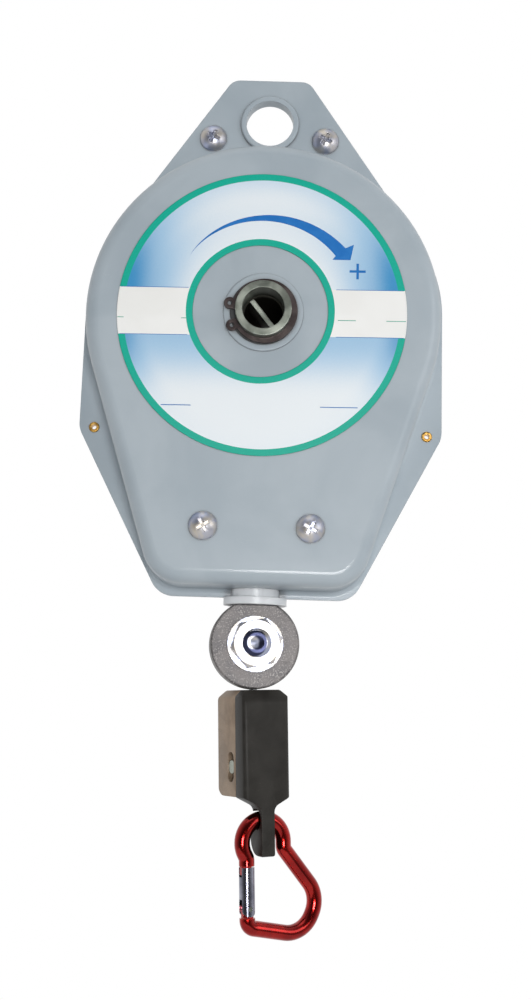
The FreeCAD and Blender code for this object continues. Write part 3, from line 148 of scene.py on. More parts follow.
def new_material(name, rows):
    """Material from a finish: its colours, grain and wear, all in real millimetres."""
    made = bpy.data.materials.new(name)
    made.use_nodes = True
    tree = made.node_tree
    tree.nodes.clear()
    place = stretched(tree, add(tree, "ShaderNodeTexCoord").outputs["Object"], (1 / MM,) * 3)
    patches = noise(tree, place, rows["patch_mm"], 4.0, 0.4)
    grain_place = place
    if "lathe" in rows:
        grain_place = around(tree, place, rows["lathe"])
    if "drawn" in rows:
        grain_place = stretched(tree, place, rows["drawn"])
    grain = noise(tree, grain_place, rows["grain_mm"], 3.0)
    base = mix(tree, between(tree, patches, 0.3, 0.7), rows["dark"], rows["light"])
    if "fleck" in rows:
        base = mix(tree, between(tree, grain, 0.52, 0.66), base, rows["fleck"])
    # Thin scratches lie where a long stretched noise crosses its middle value.
    scratch_place = stretched(tree, place, (0.25, 0.25, 2.2))
    crossing = calc(tree, "ABSOLUTE", calc(tree, "SUBTRACT", noise(tree, scratch_place, 3.0, 2.0, 1.2), 0.5))
    scarce = between(tree, noise(tree, place, 9.0, 2.0), 0.55, 0.7)
    scratches = calc(tree, "MULTIPLY", between(tree, crossing, 0.0, 0.006, 1.0, 0.0), scarce)
    base = mix(tree, calc(tree, "MULTIPLY", scratches, rows["scratch"]), base, rows["worn"])
    # Bare or rubbed edges, from how far a rounded normal leans away from the real one; on the black clamp these lighter
    # edges are partly a painted highlight.
    rounded = add(tree, "ShaderNodeBevel", {"Radius": rows["edge_mm"] * MM}, samples=4).outputs[0]
    real = add(tree, "ShaderNodeNewGeometry").outputs["Normal"]
    lean = add(tree, "ShaderNodeVectorMath", {0: rounded, 1: real}, operation="DOT_PRODUCT").outputs["Value"]
    edge = calc(tree, "MULTIPLY", between(tree, lean, 0.985, 0.9), between(tree, patches, 0.42, 0.6))
    base = mix(tree, calc(tree, "MULTIPLY", edge, rows["edge"]), base, rows["worn"])
    # Dust settles in a thin film where a face looks up.
    upward = parted(tree, real)[2]
    dust = calc(tree, "MULTIPLY", between(tree, upward, 0.55, 1.0), between(tree, patches, 0.35, 0.7, 0.2, 1.0))
    base = mix(tree, calc(tree, "MULTIPLY", dust, rows["dust"]), base, DUST)
    if "crease" in rows:
        # Painted shade: brown darkening in the inner corners, where little of the room is seen.
        open_air = add(tree, "ShaderNodeAmbientOcclusion", {"Distance": 3.0 * MM}, samples=8).outputs["AO"]
        base = mix(tree, calc(tree, "MULTIPLY", between(tree, open_air, 0.8, 0.62), rows["crease"]), base, CREASE_SHADE)
    # Label print, and on the bolt a painted shade ring, laid over the base colour.
    if "print" in rows:
        base = rows["print"](tree, place, base)
    smooth, rough = rows["roughness"]
    unevenness = calc(tree, "MULTIPLY_ADD", grain, 0.5, calc(tree, "MULTIPLY", patches, 0.5))
    shine = between(tree, unevenness, 0.35, 0.65, smooth, rough)
    shine = calc(tree, "ADD", shine, calc(tree, "MULTIPLY", dust, 0.2 * rows["dust"]))
    height = calc(tree, "ADD", grain, calc(tree, "MULTIPLY", scratches, -rows["scratch"]))
    relief = {"Strength": 1.0, "Distance": rows["bump_mm"] * MM, "Height": height, "Normal": rounded}
    bump = add(tree, "ShaderNodeBump", relief).outputs[0]
    surface = {"Base Color": base, "Metallic": rows["metal"], "Roughness": shine, "Normal": bump}
    if "film" in rows:
        # Painted shade: a dull dark film hides the metal under it.
        share = rows["film"](tree, place)
        bare = calc(tree, "SUBTRACT", 1.0, share)
        surface["Base Color"] = mix(tree, share, base, BORE_SHADE)
        surface["Metallic"] = bare
        surface["Specular IOR Level"] = calc(tree, "MULTIPLY", bare, 0.5)
        surface["Roughness"] = calc(tree, "MULTIPLY_ADD", share, 0.3, shine)
    surface.update(rows.get("more", {}))
    shader = add(tree, "ShaderNodeBsdfPrincipled", surface)
    add(tree, "ShaderNodeOutputMaterial", {"Surface": shader.outputs[0]})
    return made


def distance_from(tree, place, centre):
    """Distance in mm from a front-to-back line, with the offsets across and up."""
    x, _, z = parted(tree, place)
    dx = calc(tree, "SUBTRACT", x, centre.x)
    dz = calc(tree, "SUBTRACT", z, centre.z)
    square = calc(tree, "ADD", calc(tree, "MULTIPLY", dx, dx), calc(tree, "MULTIPLY", dz, dz))
    radius = calc(tree, "SQRT", square)
    return radius, dx, dz


def label_print(tree, place, paper):
    """Ring label: blue fading to white, a white band across, and two green rings."""
    place = add(tree, "ShaderNodeVectorRotate", {"Vector": place, "Center": LABEL, "Angle": LABEL_TURN},
                rotation_type="Y_AXIS").outputs[0]
    radius, _, rise = distance_from(tree, place, LABEL)
    hole_radius = distance_from(tree, place, LABEL_HOLE)[0]
    rise = calc(tree, "SUBTRACT", rise, BAND_UP)
    height = calc(tree, "ABSOLUTE", rise)
    upper = between(tree, rise, -1.0, 1.0)
    # Blue gathers at the rim near the band and fades towards the top and the foot.
    wide = calc(tree, "POWER", between(tree, radius, 16.0, 51.0), 1.2)
    rim = between(tree, radius, 41.0, 51.0)
    above = calc(tree, "MULTIPLY_ADD", wide, between(tree, height, 6.0, 47.0, 1.0, 0.1),
                 calc(tree, "MULTIPLY", rim, 0.22))
    below = calc(tree, "MULTIPLY_ADD", rim, between(tree, height, 10.0, 45.0, 0.35, 0.05),
                 between(tree, height, 8.0, 33.0, 0.6, 0.05))
    blue = add(tree, "ShaderNodeMix", {0: upper, 2: below, 3: above}).outputs[0]
    dots = noise(tree, place, 0.7, 1.0)
    blue = calc(tree, "ADD", blue, calc(tree, "MULTIPLY", calc(tree, "SUBTRACT", dots, 0.5), 0.06))
    sky = mix(tree, between(tree, blue, 0.0, 0.6), "E2E7EA", "A3C3DC")
    sky = mix(tree, between(tree, blue, 0.45, 1.15), sky, "3A8BBE")
    band = calc(tree, "LESS_THAN", height, BAND_HALF)
    sheet = mix(tree, band, sky, paper)
    off_band = calc(tree, "SUBTRACT", 1.0, band)
    outer = calc(tree, "MULTIPLY", calc(tree, "GREATER_THAN", radius, LABEL_R - RING_WIDTH), off_band)
    inner = calc(tree, "LESS_THAN", hole_radius, LABEL_HOLE_R + RING_WIDTH)
    green = mix(tree, dots, "009D86", "0AAB94")
    return mix(tree, calc(tree, "MAXIMUM", outer, inner), sheet, green)


def bore_painted_shade(tree, place):
    """Painted shade: how far a dull black film covers the arbor's bore, thickest away from its mouth."""
    radius = distance_from(tree, place, HUB)[0]
    depth = parted(tree, place)[1]
    inward = between(tree, depth, ARBOR_MOUTH_Y, ARBOR_MOUTH_Y + 12.0, 0.35, 1.0)
    return calc(tree, "MULTIPLY", between(tree, radius, 7.9, 7.4), inward)


def bolt_shade(tree, place, steel):
    """Painted shade: a dark blue ring round the end of the rope stop's bolt."""
    radius = distance_from(tree, place, STOP)[0]
    ring = calc(tree, "MULTIPLY", between(tree, radius, 1.6, 2.6), between(tree, radius, 5.2, 4.6))
    return mix(tree, ring, steel, BOLT_END_SHADE)


# What each finish gives the eye. Sizes are in millimetres; patch is the slow unevenness, grain the fine one.
PLAIN = {"patch_mm": 18.0, "grain_mm": 0.5, "scratch": 0.2, "edge_mm": 0.5, "edge": 0.4, "dust": 0.15,
         "bump_mm": 0.02, "metal": 1.0, "roughness": (0.3, 0.4), "worn": "C8C8CA"}
FINISHES = {
    # Stove-enamelled sheet steel: satin grey with a faint orange peel, rubbed corners and painted shade in its inner
    # corners.
    "painted_sheet": dict(dark="9AA5AD", light="A6B0B7", worn="B9C1C3", metal=0.0, roughness=(0.4, 0.48), grain_mm=1.1,
                          bump_mm=0.018, patch_mm=30.0, edge=0.3, scratch=0.25, crease=0.5,
                          more={"Specular IOR Level": 0.28, "Coat Weight": 0.3, "Coat Roughness": 0.12}),
    # Vinyl label: smooth print with a soft sheen.
    "label_print": dict(dark="E4E4E1", light="E9E9E7", worn="F4F4F4", metal=0.0, roughness=(0.38, 0.44), grain_mm=0.8,
                        bump_mm=0.004, scratch=0.15, edge=0.0, dust=0.05, print=label_print,
                        more={"Specular IOR Level": 0.28}),
    # Printing ink on the label: flat blue.
    "printing_ink": dict(dark="1C6AB4", light="2572BA", worn="6FA3D2", metal=0.0, roughness=(0.4, 0.48), grain_mm=0.5,
                         bump_mm=0.002, patch_mm=4.0, edge=0.0, more={"Specular IOR Level": 0.2}),
    # Printing ink on the label's band: flat green.
    "green_ink": dict(dark="17957A", light="2AA58B", worn="6FBFAE", metal=0.0, roughness=(0.34, 0.42), grain_mm=0.5,
                      bump_mm=0.002, patch_mm=4.0, edge=0.0),
    # Bright zinc plating: silvery, with a cold blue and a warm yellow tinge.
    "zinc_plated_steel": dict(dark="A4ABC2", light="C6BFB4", worn="DADADA", roughness=(0.34, 0.46), grain_mm=0.25,
                              bump_mm=0.006, patch_mm=5.0),
    # Yellow brass rivets, slightly dulled.
    "brass_eyelet": dict(dark="A97E3C", light="D2A558", worn="F0D08C", roughness=(0.25, 0.4), grain_mm=0.3,
                         bump_mm=0.006, patch_mm=2.0),
    # Natural nylon: milky, light passes a little way in.
    "nylon_bush": dict(dark="DADDE0", light="E4E6E8", worn="F0F1F2", metal=0.0, roughness=(0.3, 0.42), grain_mm=0.6,
                       bump_mm=0.01, more={"Subsurface Weight": 0.5, "Subsurface Radius": (0.003, 0.003, 0.003),
                                           "Subsurface Scale": 0.6}),
    # Filled acetal bearing bushes: dull black.
    "bearing_plastic": dict(dark="26282A", light="303234", worn="5A5C5E", metal=0.0, roughness=(0.42, 0.55),
                            bump_mm=0.01),
    # Turned steel: fine rings left by the tool.
    "turned_steel": dict(dark="737870", light="A2A79D", worn="C4C7C0", roughness=(0.3, 0.45), grain_mm=0.16,
                         bump_mm=0.02, lathe=HUB, patch_mm=7.0),
    # Phosphated spring steel: dark grey-brown and satin.
    "phosphated_spring_steel": dict(dark="352E2E", light="4C4443", worn="807A78", roughness=(0.4, 0.52), metal=0.85,
                                    grain_mm=0.3, bump_mm=0.008, patch_mm=5.0),
    # Cast aluminium of the drum: pale, slightly grainy.
    "cast_aluminium": dict(dark="9EA0A1", light="B7B9BA", worn="D8DADB", roughness=(0.4, 0.55), grain_mm=0.6,
                           bump_mm=0.05),
    # Bright steel wire of the rope.
    "wire_rope": dict(dark="83868A", light="B3B6B8", worn="D6D8DA", roughness=(0.28, 0.4), grain_mm=0.2, bump_mm=0.01,
                      patch_mm=3.0),
    # Sand-cast rope stop: rough skin with light and dark flecks.
    "rough_cast_metal": dict(dark="565455", light="7D7978", worn="B0ACAA", fleck="9A9694", roughness=(0.45, 0.62),
                             metal=0.6, grain_mm=0.55, bump_mm=0.09, patch_mm=6.0, edge=0.7),
    # Black oxide on the clamp's front half: deep brown-black satin with rubbed arrises, lighter, partly a painted
    # highlight.
    "black_oxide_steel": dict(dark="23211E", light="2D2B28", worn="5E5A54", roughness=(0.42, 0.52), metal=0.0,
                              grain_mm=0.35, bump_mm=0.012, patch_mm=9.0, edge=0.6, more={"Specular IOR Level": 0.2}),
    # Die-cast zinc of the clamp's rear half: warm grey-brown.
    "die_cast_zinc": dict(dark="7C6956", light="9B8773", worn="C4B8A8", roughness=(0.4, 0.55), metal=0.35, grain_mm=0.5,
                          bump_mm=0.02, patch_mm=8.0),
    # Red anodised aluminium: a deep clear red over metal.
    "red_anodised_aluminium": dict(dark="7E100F", light="A01B17", worn="D86A58", roughness=(0.12, 0.18), grain_mm=0.4,
                                   bump_mm=0.0004, patch_mm=6.0, edge=0.25, drawn=(1.0, 1.0, 0.2),
                                   more={"Coat Weight": 0.3, "Coat Roughness": 0.05}),
    # Bare aluminium of the gate: bright, drawn lengthwise.
    "bare_aluminium": dict(dark="6E6F7C", light="9899A6", worn="D8D8D8", roughness=(0.16, 0.22), grain_mm=0.2,
                           bump_mm=0.0001, drawn=(1.0, 1.0, 0.08), patch_mm=5.0, edge=0.0, edge_mm=0.1, scratch=0.05),
}
MATERIALS = {name: new_material(name, {**PLAIN, **finish}) for name, finish in FINISHES.items()}


def variant(name, finish, **changes):
    """One more material, made from a finish with a few rows changed."""
    MATERIALS[name] = new_material(name, {**PLAIN, **FINISHES[finish], **changes})


# Turned steel of the hollow arbor, its bore darkened with painted shade.
variant("bore_shaded_steel", "turned_steel", film=bore_painted_shade)
# Plated bolt, with painted shade round its end.
variant("bolt_shaded_steel", "zinc_plated_steel", print=bolt_shade)
# Plated nut and washers, with the rings that facing left.
variant("faced_steel", "zinc_plated_steel", lathe=STOP, grain_mm=0.3, bump_mm=0.012)

OWN_FINISH = {"arbor_tube": "bore_shaded_steel", "stop_bolt": "bolt_shaded_steel",
              "stop_nut": "faced_steel", "stop_washers": "faced_steel"}
for part in [shown for shown in bpy.data.objects if shown.type == "MESH"]:
    for part_slot in part.material_slots:
        given = part_slot.material.name.split(".")[0]
        part_slot.material = MATERIALS[OWN_FINISH.get(part.name, given)]


def mesh_object(name, vertices, faces, material):
    """Mesh object at the origin from points in metres."""
    mesh = bpy.data.meshes.new(name)
    mesh.from_pydata(vertices, [], faces)
    mesh.validate()
    made = bpy.data.objects.new(name, mesh)
    made.data.materials.append(material)
    bpy.context.scene.collection.objects.link(made)
    return made


def prisms(name, shapes, y_front, y_back, material):
    """One mesh of thin upright prisms, each from a counter-clockwise outline of (x, z) seen from the front, in mm."""
    vertices = []
    faces = []
    for shape in shapes:
        first = len(vertices)
        count = len(shape)
        vertices += [(x * MM, y_front * MM, z * MM) for x, z in shape]
        vertices += [(x * MM, y_back * MM, z * MM) for x, z in shape]
        faces.append([first + i for i in range(count)])
        faces.append([first + count + i for i in reversed(range(count))])
        for i in range(count):
            j = (i + 1) % count
            faces.append([first + j, first + i, first + count + i, first + count + j])
    return mesh_object(name, vertices, faces, material)


def on_label(x, z):
    """Place on the turned label of a point given from its centre."""
    cos, sin = math.cos(LABEL_TURN), math.sin(LABEL_TURN)
    return (LABEL.x + x * cos - z * sin, LABEL.z + x * sin + z * cos)


def bar(x_from, x_to, z_from, z_to):
    """Outline of a printed bar."""
    return [on_label(x_from, z_from), on_label(x_to, z_from), on_label(x_to, z_to), on_label(x_from, z_to)]


def polar(radius, degrees):
    """Place at an angle round the label's centre."""
    return on_label(radius * math.cos(math.radians(degrees)), radius * math.sin(math.radians(degrees)))


def arrow_outline():
    """The swelling arc of the arrow from its tail to its neck, and its barbed head, in one outline."""
    steps = 48
    tail_deg, neck_deg, tip_deg = 141.7, 39.6, 32.6
    outside, inside = [], []
    for i in range(1, steps + 1):
        share = i / steps
        angle = tail_deg + (neck_deg - tail_deg) * share
        middle = 33.3 + 2.8 * share ** 0.5
        half = 2.3 * share ** 1.1
        outside.append(polar(middle + half, angle))
        inside.append(polar(middle - half, angle))
    head = [polar(41.6, neck_deg - 1.2), polar(37.3, tip_deg), polar(32.0, neck_deg - 0.7)]
    return [polar(33.3, tail_deg)] + inside + head[::-1] + outside[::-1]


def plus_outline(x, z, half, arm):
    """Outline of a plus sign, half across and twice the arm thick."""
    corners = [(arm, arm), (arm, half), (-arm, half), (-arm, arm), (-half, arm), (-half, -arm),
               (-arm, -arm), (-arm, -half), (arm, -half), (arm, -arm), (half, -arm), (half, arm)]
    return [on_label(x + dx, z + dz) for dx, dz in corners]


def printed(name, outlines, ink):
    """Thin printed marks that lie on the label."""
    made = prisms(name, outlines, LABEL_FRONT_Y - 0.02, LABEL_FRONT_Y + 0.01, MATERIALS[ink])
    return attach(made, "housing")


def circle(radius, x, z, count=40):
    """Round outline."""
    turns = [2 * math.pi * i / count for i in range(count)]
    return [(x + radius * math.cos(t), z + radius * math.sin(t)) for t in turns]


def label_sheet():
    """The label itself: a ring whose hole is off its centre."""
    count = 240
    loops = []
    for centre, radius in ((LABEL, LABEL_R), (LABEL_HOLE, LABEL_HOLE_R)):
        for y in (LABEL_FRONT_Y, LABEL_BACK_Y):
            loops.append([(x * MM, y * MM, z * MM) for x, z in circle(radius, centre.x, centre.z, count)])
    order = [(0, 2), (2, 3), (3, 1), (1, 0)]
    faces = []
    for a, b in order:
        for i in range(count):
            j = (i + 1) % count
            faces.append((a * count + i, a * count + j, b * count + j, b * count + i))
    return mesh_object("label_sheet", sum(loops, []), faces, MATERIALS["label_print"])


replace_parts(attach(label_sheet(), "housing"), "label_disc")
marks = [arrow_outline(), plus_outline(34.0, 15.9, 2.9, 0.45)]
for x_from, x_to in ((-35.2, -24.6), (21.1, 34.4)):
    marks.append(bar(x_from, x_to, -34.1, -33.8))
for edge in (BAND_UP - BAND_HALF, BAND_UP + BAND_HALF):
    marks.append(bar(-50.6, -26.4, edge - 0.1, edge + 0.1))
    marks.append(bar(26.4, 50.6, edge - 0.1, edge + 0.1))
printed("label_marks", marks, "printing_ink")
dashes = [(-51.5, -49.3), (-28.8, -26.9), (27.1, 33.5), (44.4, 51.4)]
printed("label_dashes", [bar(a, b, -2.4, -2.15) for a, b in dashes], "green_ink")


NUMBER, COUNT, FINISH = "NodeSocketFloat", "NodeSocketInt", "NodeSocketMaterial"


def new_tree(name, **sockets):
    """Geometry tree with named inputs, each of the kind given for it."""
    tree = bpy.data.node_groups.new(name, "GeometryNodeTree")
    tree.interface.new_socket("Geometry", in_out="INPUT", socket_type="NodeSocketGeometry")
    for label, kind in sockets.items():
        tree.interface.new_socket(label, in_out="INPUT", socket_type=kind)
    tree.interface.new_socket("Geometry", in_out="OUTPUT", socket_type="NodeSocketGeometry")
    return tree, tree.nodes.new("NodeGroupInput")


def finish_tree(tree, source, geometry):
    """End a geometry tree in real meshes with one material."""
    real = add(tree, "GeometryNodeRealizeInstances", {"Geometry": geometry}).outputs[0]
    inputs = {"Geometry": real, "Material": source.outputs["Material"]}
    dressed = add(tree, "GeometryNodeSetMaterial", inputs).outputs[0]
    smooth = add(tree, "GeometryNodeSetShadeSmooth", {"Geometry": dressed}).outputs[0]
    add(tree, "NodeGroupOutput", {"Geometry": smooth})


def grown(name, tree, points, **values):
    """Plain mesh that a geometry tree makes on a set of points given in mm."""
    holder = mesh_object(name, [tuple(Vector(p) * MM) for p in points], [], values["Material"])
    modifier = holder.modifiers.new("shape", "NODES")
    modifier.node_group = tree
    for item in tree.interface.items_tree:
        if item.in_out == "INPUT" and item.name in values:
            modifier[item.identifier] = values[item.name]
    holder.update_tag()
    depsgraph = bpy.context.evaluated_depsgraph_get()
    made = bpy.data.meshes.new_from_object(holder.evaluated_get(depsgraph))
    holder.modifiers.remove(modifier)
    old = holder.data
    holder.data = made
    bpy.data.meshes.remove(old)
    return holder


def thread_tree():
    """A screw thread's ridge wound round a front-to-back line, set on every point."""
    tree, source = new_tree("thread", Radius=NUMBER, Tip=NUMBER, Pitch=NUMBER, Turns=NUMBER,
                            Ridge=NUMBER, Material=FINISH)
    height = calc(tree, "MULTIPLY", source.outputs["Pitch"], source.outputs["Turns"])
    spiral = add(tree, "GeometryNodeCurveSpiral", {
        "Resolution": 48, "Rotations": source.outputs["Turns"], "Start Radius": source.outputs["Radius"],
        "End Radius": source.outputs["Tip"], "Height": height}).outputs[0]
    ring = {"Resolution": 6, "Radius": source.outputs["Ridge"]}
    ridge = add(tree, "GeometryNodeCurvePrimitiveCircle", ring).outputs[0]
    swept = {"Curve": spiral, "Profile Curve": ridge, "Fill Caps": True}
    wound = add(tree, "GeometryNodeCurveToMesh", swept).outputs[0]
    laid = add(tree, "GeometryNodeTransform", {"Geometry": wound, "Rotation": (math.radians(90), 0, 0)}).outputs[0]
    spots = add(tree, "GeometryNodeMeshToPoints", {"Mesh": source.outputs["Geometry"]}).outputs[0]
    set_on = add(tree, "GeometryNodeInstanceOnPoints", {"Points": spots, "Instance": laid}).outputs[0]
    finish_tree(tree, source, set_on)
    return tree


def rope_tree():
    """Six strands laid side by side round the rope's middle, between two heights.

    The piece lengthens when the rope is pulled, eased at both ends, so its turns follow the same easing.
    """
    tree, source = new_tree("rope", Length=NUMBER, Turns=NUMBER, Strand=NUMBER, Rings=COUNT, Material=FINISH)
    line = add(tree, "GeometryNodeCurvePrimitiveLine", {"Start": (0, 0, 0), "End": (0, 0, -1)}).outputs[0]
    line = add(tree, "GeometryNodeResampleCurve", {"Curve": line, "Count": source.outputs["Rings"]}).outputs[0]
    share = add(tree, "GeometryNodeSplineParameter").outputs["Factor"]
    swing = calc(tree, "ARCSINE", calc(tree, "MULTIPLY_ADD", share, -2.0, 1.0))
    eased = calc(tree, "SUBTRACT", 0.5, calc(tree, "SINE", calc(tree, "DIVIDE", swing, 3.0)))
    drop = calc(tree, "MULTIPLY", calc(tree, "MULTIPLY", eased, source.outputs["Length"]), -1.0)
    place = add(tree, "ShaderNodeCombineXYZ", {2: drop}).outputs[0]
    line = add(tree, "GeometryNodeSetPosition", {"Geometry": line, "Position": place}).outputs[0]
    twist = calc(tree, "MULTIPLY", calc(tree, "MULTIPLY", share, source.outputs["Turns"]), 2 * math.pi)
    line = add(tree, "GeometryNodeSetCurveTilt", {"Curve": line, "Tilt": twist}).outputs[0]
    ring = {"Resolution": 8, "Radius": source.outputs["Strand"]}
    strand = add(tree, "GeometryNodeCurvePrimitiveCircle", ring).outputs[0]
    lay_radius = calc(tree, "MULTIPLY", source.outputs["Strand"], 2.0)
    lay = add(tree, "GeometryNodeCurvePrimitiveCircle", {"Resolution": 6, "Radius": lay_radius}).outputs[0]
    section = add(tree, "GeometryNodeInstanceOnPoints", {"Points": lay, "Instance": strand}).outputs[0]
    section = add(tree, "GeometryNodeRealizeInstances", {"Geometry": section}).outputs[0]
    body = add(tree, "GeometryNodeCurveToMesh", {"Curve": line, "Profile Curve": section, "Fill Caps": True}).outputs[0]
    spots = add(tree, "GeometryNodeMeshToPoints", {"Mesh": source.outputs["Geometry"]}).outputs[0]
    set_on = add(tree, "GeometryNodeInstanceOnPoints", {"Points": spots, "Instance": body}).outputs[0]
    finish_tree(tree, source, set_on)
    return tree


rope = grown("rope_strands", rope_tree(), [(0, 0, FLANGE_FOOT_Z)], Length=(FLANGE_FOOT_Z - STOP_TOP_Z) * MM,
             Turns=ROPE_TURNS, Strand=STRAND_R * MM, Rings=ROPE_RINGS, Material=MATERIALS["wire_rope"])
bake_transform(rope)
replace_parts(rope, "rope_run")


def rounded(corners, segments=8):
    """Outline of (across, up, corner radius) rows with each corner rounded."""
    points = []
    for i, (x, z, radius) in enumerate(corners):
        here = Vector((x, z))
        back = (Vector(corners[i - 1][:2]) - here).normalized()
        onward = (Vector(corners[(i + 1) % len(corners)][:2]) - here).normalized()
        if radius == 0:
            points.append(here)
            continue
        half = back.angle(onward) / 2
        middle = here + (back + onward).normalized() * radius / math.sin(half)
        first = here + back * radius / math.tan(half) - middle
        last = here + onward * radius / math.tan(half) - middle
        sweep = first.angle_signed(last)
        for step in range(segments + 1):
            angle = -sweep * step / segments
            points.append(middle + Matrix.Rotation(angle, 2) @ first)
    return points


def prism_along(axis, outline, start, end):
    """Closed prism in mm along X, Y or Z; its outline gives the other two places in their order."""
    spots = []
    for place in (start, end):
        for a, b in outline:
            spot = [a, b]
            spot.insert(axis, place)
            spots.append(tuple(v * MM for v in spot))
    count = len(outline)
    faces = [list(range(count)), list(reversed(range(count, 2 * count)))]
    for i in range(count):
        j = (i + 1) % count
        faces.append((j, i, count + i, count + j))
    made = mesh_object("tool", spots, faces, MATERIALS["bare_aluminium"])
    shape = bmesh.new()
    shape.from_mesh(made.data)
    bmesh.ops.recalc_face_normals(shape, faces=shape.faces)
    shape.to_mesh(made.data)
    shape.free()
    return made


def shaped(body, tools, operation):
    """Cut a body by tools, or keep what it shares with them; the tools are used up."""
    for tool in tools:
        cut = body.modifiers.new("cut", "BOOLEAN")
        cut.operation = operation
        cut.object = tool
        cut.solver = "EXACT"
    plain(body)
    for tool in tools:
        bpy.data.objects.remove(tool)
    return body


def plain(body):
    """Turn an object's modifiers into its plain mesh."""
    made = bpy.data.meshes.new_from_object(body.evaluated_get(bpy.context.evaluated_depsgraph_get()))
    body.modifiers.clear()
    body.data = made


def softened(body, width_mm):
    """Break the sharp arrises of a body."""
    edge = body.modifiers.new("edge", "BEVEL")
    edge.width = width_mm * MM
    edge.segments = 2
    edge.limit_method = "ANGLE"
    edge.angle_limit = math.radians(35)
    plain(body)
    return body


def clamp_piece(name, body, material):
    """Turn a half of the rope clamp as it hangs, and finish it."""
    lean_axis = Vector((math.sin(STOP_TURN), -math.cos(STOP_TURN), 0))
    hang = Matrix.Rotation(CLAMP_LEAN, 4, lean_axis)
    bend = Matrix.Translation(Vector((0, 0, ROPE_BEND_Z * MM)))
    body.data.transform(bend @ hang @ bend.inverted() @ Matrix.Rotation(CLAMP_TURN, 4, "Z"))
    body.name = name
    body.data.materials.clear()
    body.data.materials.append(MATERIALS[material])
    body.data.shade_smooth()
    body.data.set_sharp_from_angle(angle=math.radians(40))
    return body


def clamp_rear():
    """Rear half of the rope clamp: square flanks, rounded feet, the cross pin's slot and the screw's seat."""
    side = rounded([(SPLIT_Y, FOOT_Z, 0.0), (BACK_Y, FOOT_Z, 4.9), (BACK_Y, TOP_Z - 4.4, 1.5),
                    (BACK_Y - 3.0, TOP_Z, 0.8), (SPLIT_Y, TOP_Z, 0.0)])
    plan = rounded([(-HALF_W, SPLIT_Y, 0.0), (HALF_W, SPLIT_Y, 0.0), (HALF_W, BACK_Y, 0.9), (-HALF_W, BACK_Y, 0.9)])
    front = rounded([(-HALF_W, FOOT_Z, 0.5), (HALF_W, FOOT_Z, 0.5), (HALF_W, TOP_Z - SHOULDER, 1.0),
                     (SHOULDER_X, TOP_Z, 1.0), (-SHOULDER_X, TOP_Z, 1.0), (-HALF_W, TOP_Z - SHOULDER, 1.0)])
    body = prism_along(1, front, SPLIT_Y, BACK_Y)
    forms = [prism_along(0, side, -HALF_W - 1, HALF_W + 1), prism_along(2, plan, FOOT_Z - 1, TOP_Z + 1)]
    shaped(body, forms, "INTERSECT")
    softened(body, EDGE_BREAK)
    pin_round = circle(PIN_SLOT_R, 0, PIN_Z)
    slot = [(y, z + PIN_TRAVEL) for y, z in pin_round if z >= PIN_Z]
    slot += [(y, z - PIN_TRAVEL) for y, z in pin_round if z < PIN_Z]
    half_turns = [math.pi * i / 12 for i in range(13)]
    rope_way = [(-ROPE_WAY_R, SPLIT_Y - 1), (ROPE_WAY_R, SPLIT_Y - 1)]
    rope_way += [(ROPE_WAY_R * math.cos(t), ROPE_WAY_R * math.sin(t)) for t in half_turns]
    tools = [prism_along(0, slot, -HALF_W - 1, HALF_W + 1),
             prism_along(1, circle(SCREW_SEAT_R, 0, SCREW_Z), BACK_Y - SCREW_SEAT_DEEP, BACK_Y + 1),
             prism_along(2, rope_way, TOP_Z - ROPE_WAY_DEEP, TOP_Z + 1)]
    return clamp_piece("clamp_rear_casting", shaped(body, tools, "DIFFERENCE"), "die_cast_zinc")


def clamp_front():
    """Front half of the rope clamp: well rounded face, waist and the hook tongue with its eye."""
    low = FOOT_Z - 20.4
    waist = FOOT_Z - 3.4
    web_top = FOOT_Z - 6.4
    half = [(SHOULDER_X, TOP_Z, 1.0), (HALF_W, TOP_Z - SHOULDER, 1.0), (HALF_W, FOOT_Z, 0.8),
            (2.5, waist, 3.0), (2.5, low, 0.6)]
    front = rounded(half + [(-x, z, r) for x, z, r in reversed(half)])
    side = rounded([(-8.0, TOP_Z, 1.2), (SPLIT_Y, TOP_Z, 0.0), (SPLIT_Y, web_top, 0.0),
                    (TONGUE_BACK_Y, web_top, 0.3), (TONGUE_BACK_Y, low, 6.0), (CLAMP_FRONT_Y, low, 1.0),
                    (CLAMP_FRONT_Y, TOP_Z - 4.4, 3.4)])
    plan = rounded([(-HALF_W, CLAMP_FRONT_Y, 1.9), (HALF_W, CLAMP_FRONT_Y, 1.9),
                    (HALF_W, 0.0, 0.0), (-HALF_W, 0.0, 0.0)])
    body = prism_along(1, front, CLAMP_FRONT_Y, 0.0)
    forms = [prism_along(0, side, -HALF_W - 1, HALF_W + 1), prism_along(2, plan, low - 1, TOP_Z + 1)]
    shaped(body, forms, "INTERSECT")
    softened(body, EDGE_BREAK)
    eye = circle(EYE_R, (TONGUE_BACK_Y + CLAMP_FRONT_Y) / 2, FOOT_Z - EYE_BELOW)
    tools = [prism_along(0, eye, -HALF_W, HALF_W)]
    return clamp_piece("clamp_front_hook", shaped(body, tools, "DIFFERENCE"), "black_oxide_steel")


for half, node, finish in ((clamp_front(), "clamp_front", "black_oxide_steel"),
                           (clamp_rear(), "clamp_rear", "die_cast_zinc")):
    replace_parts(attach(half, "hook_block"), node)


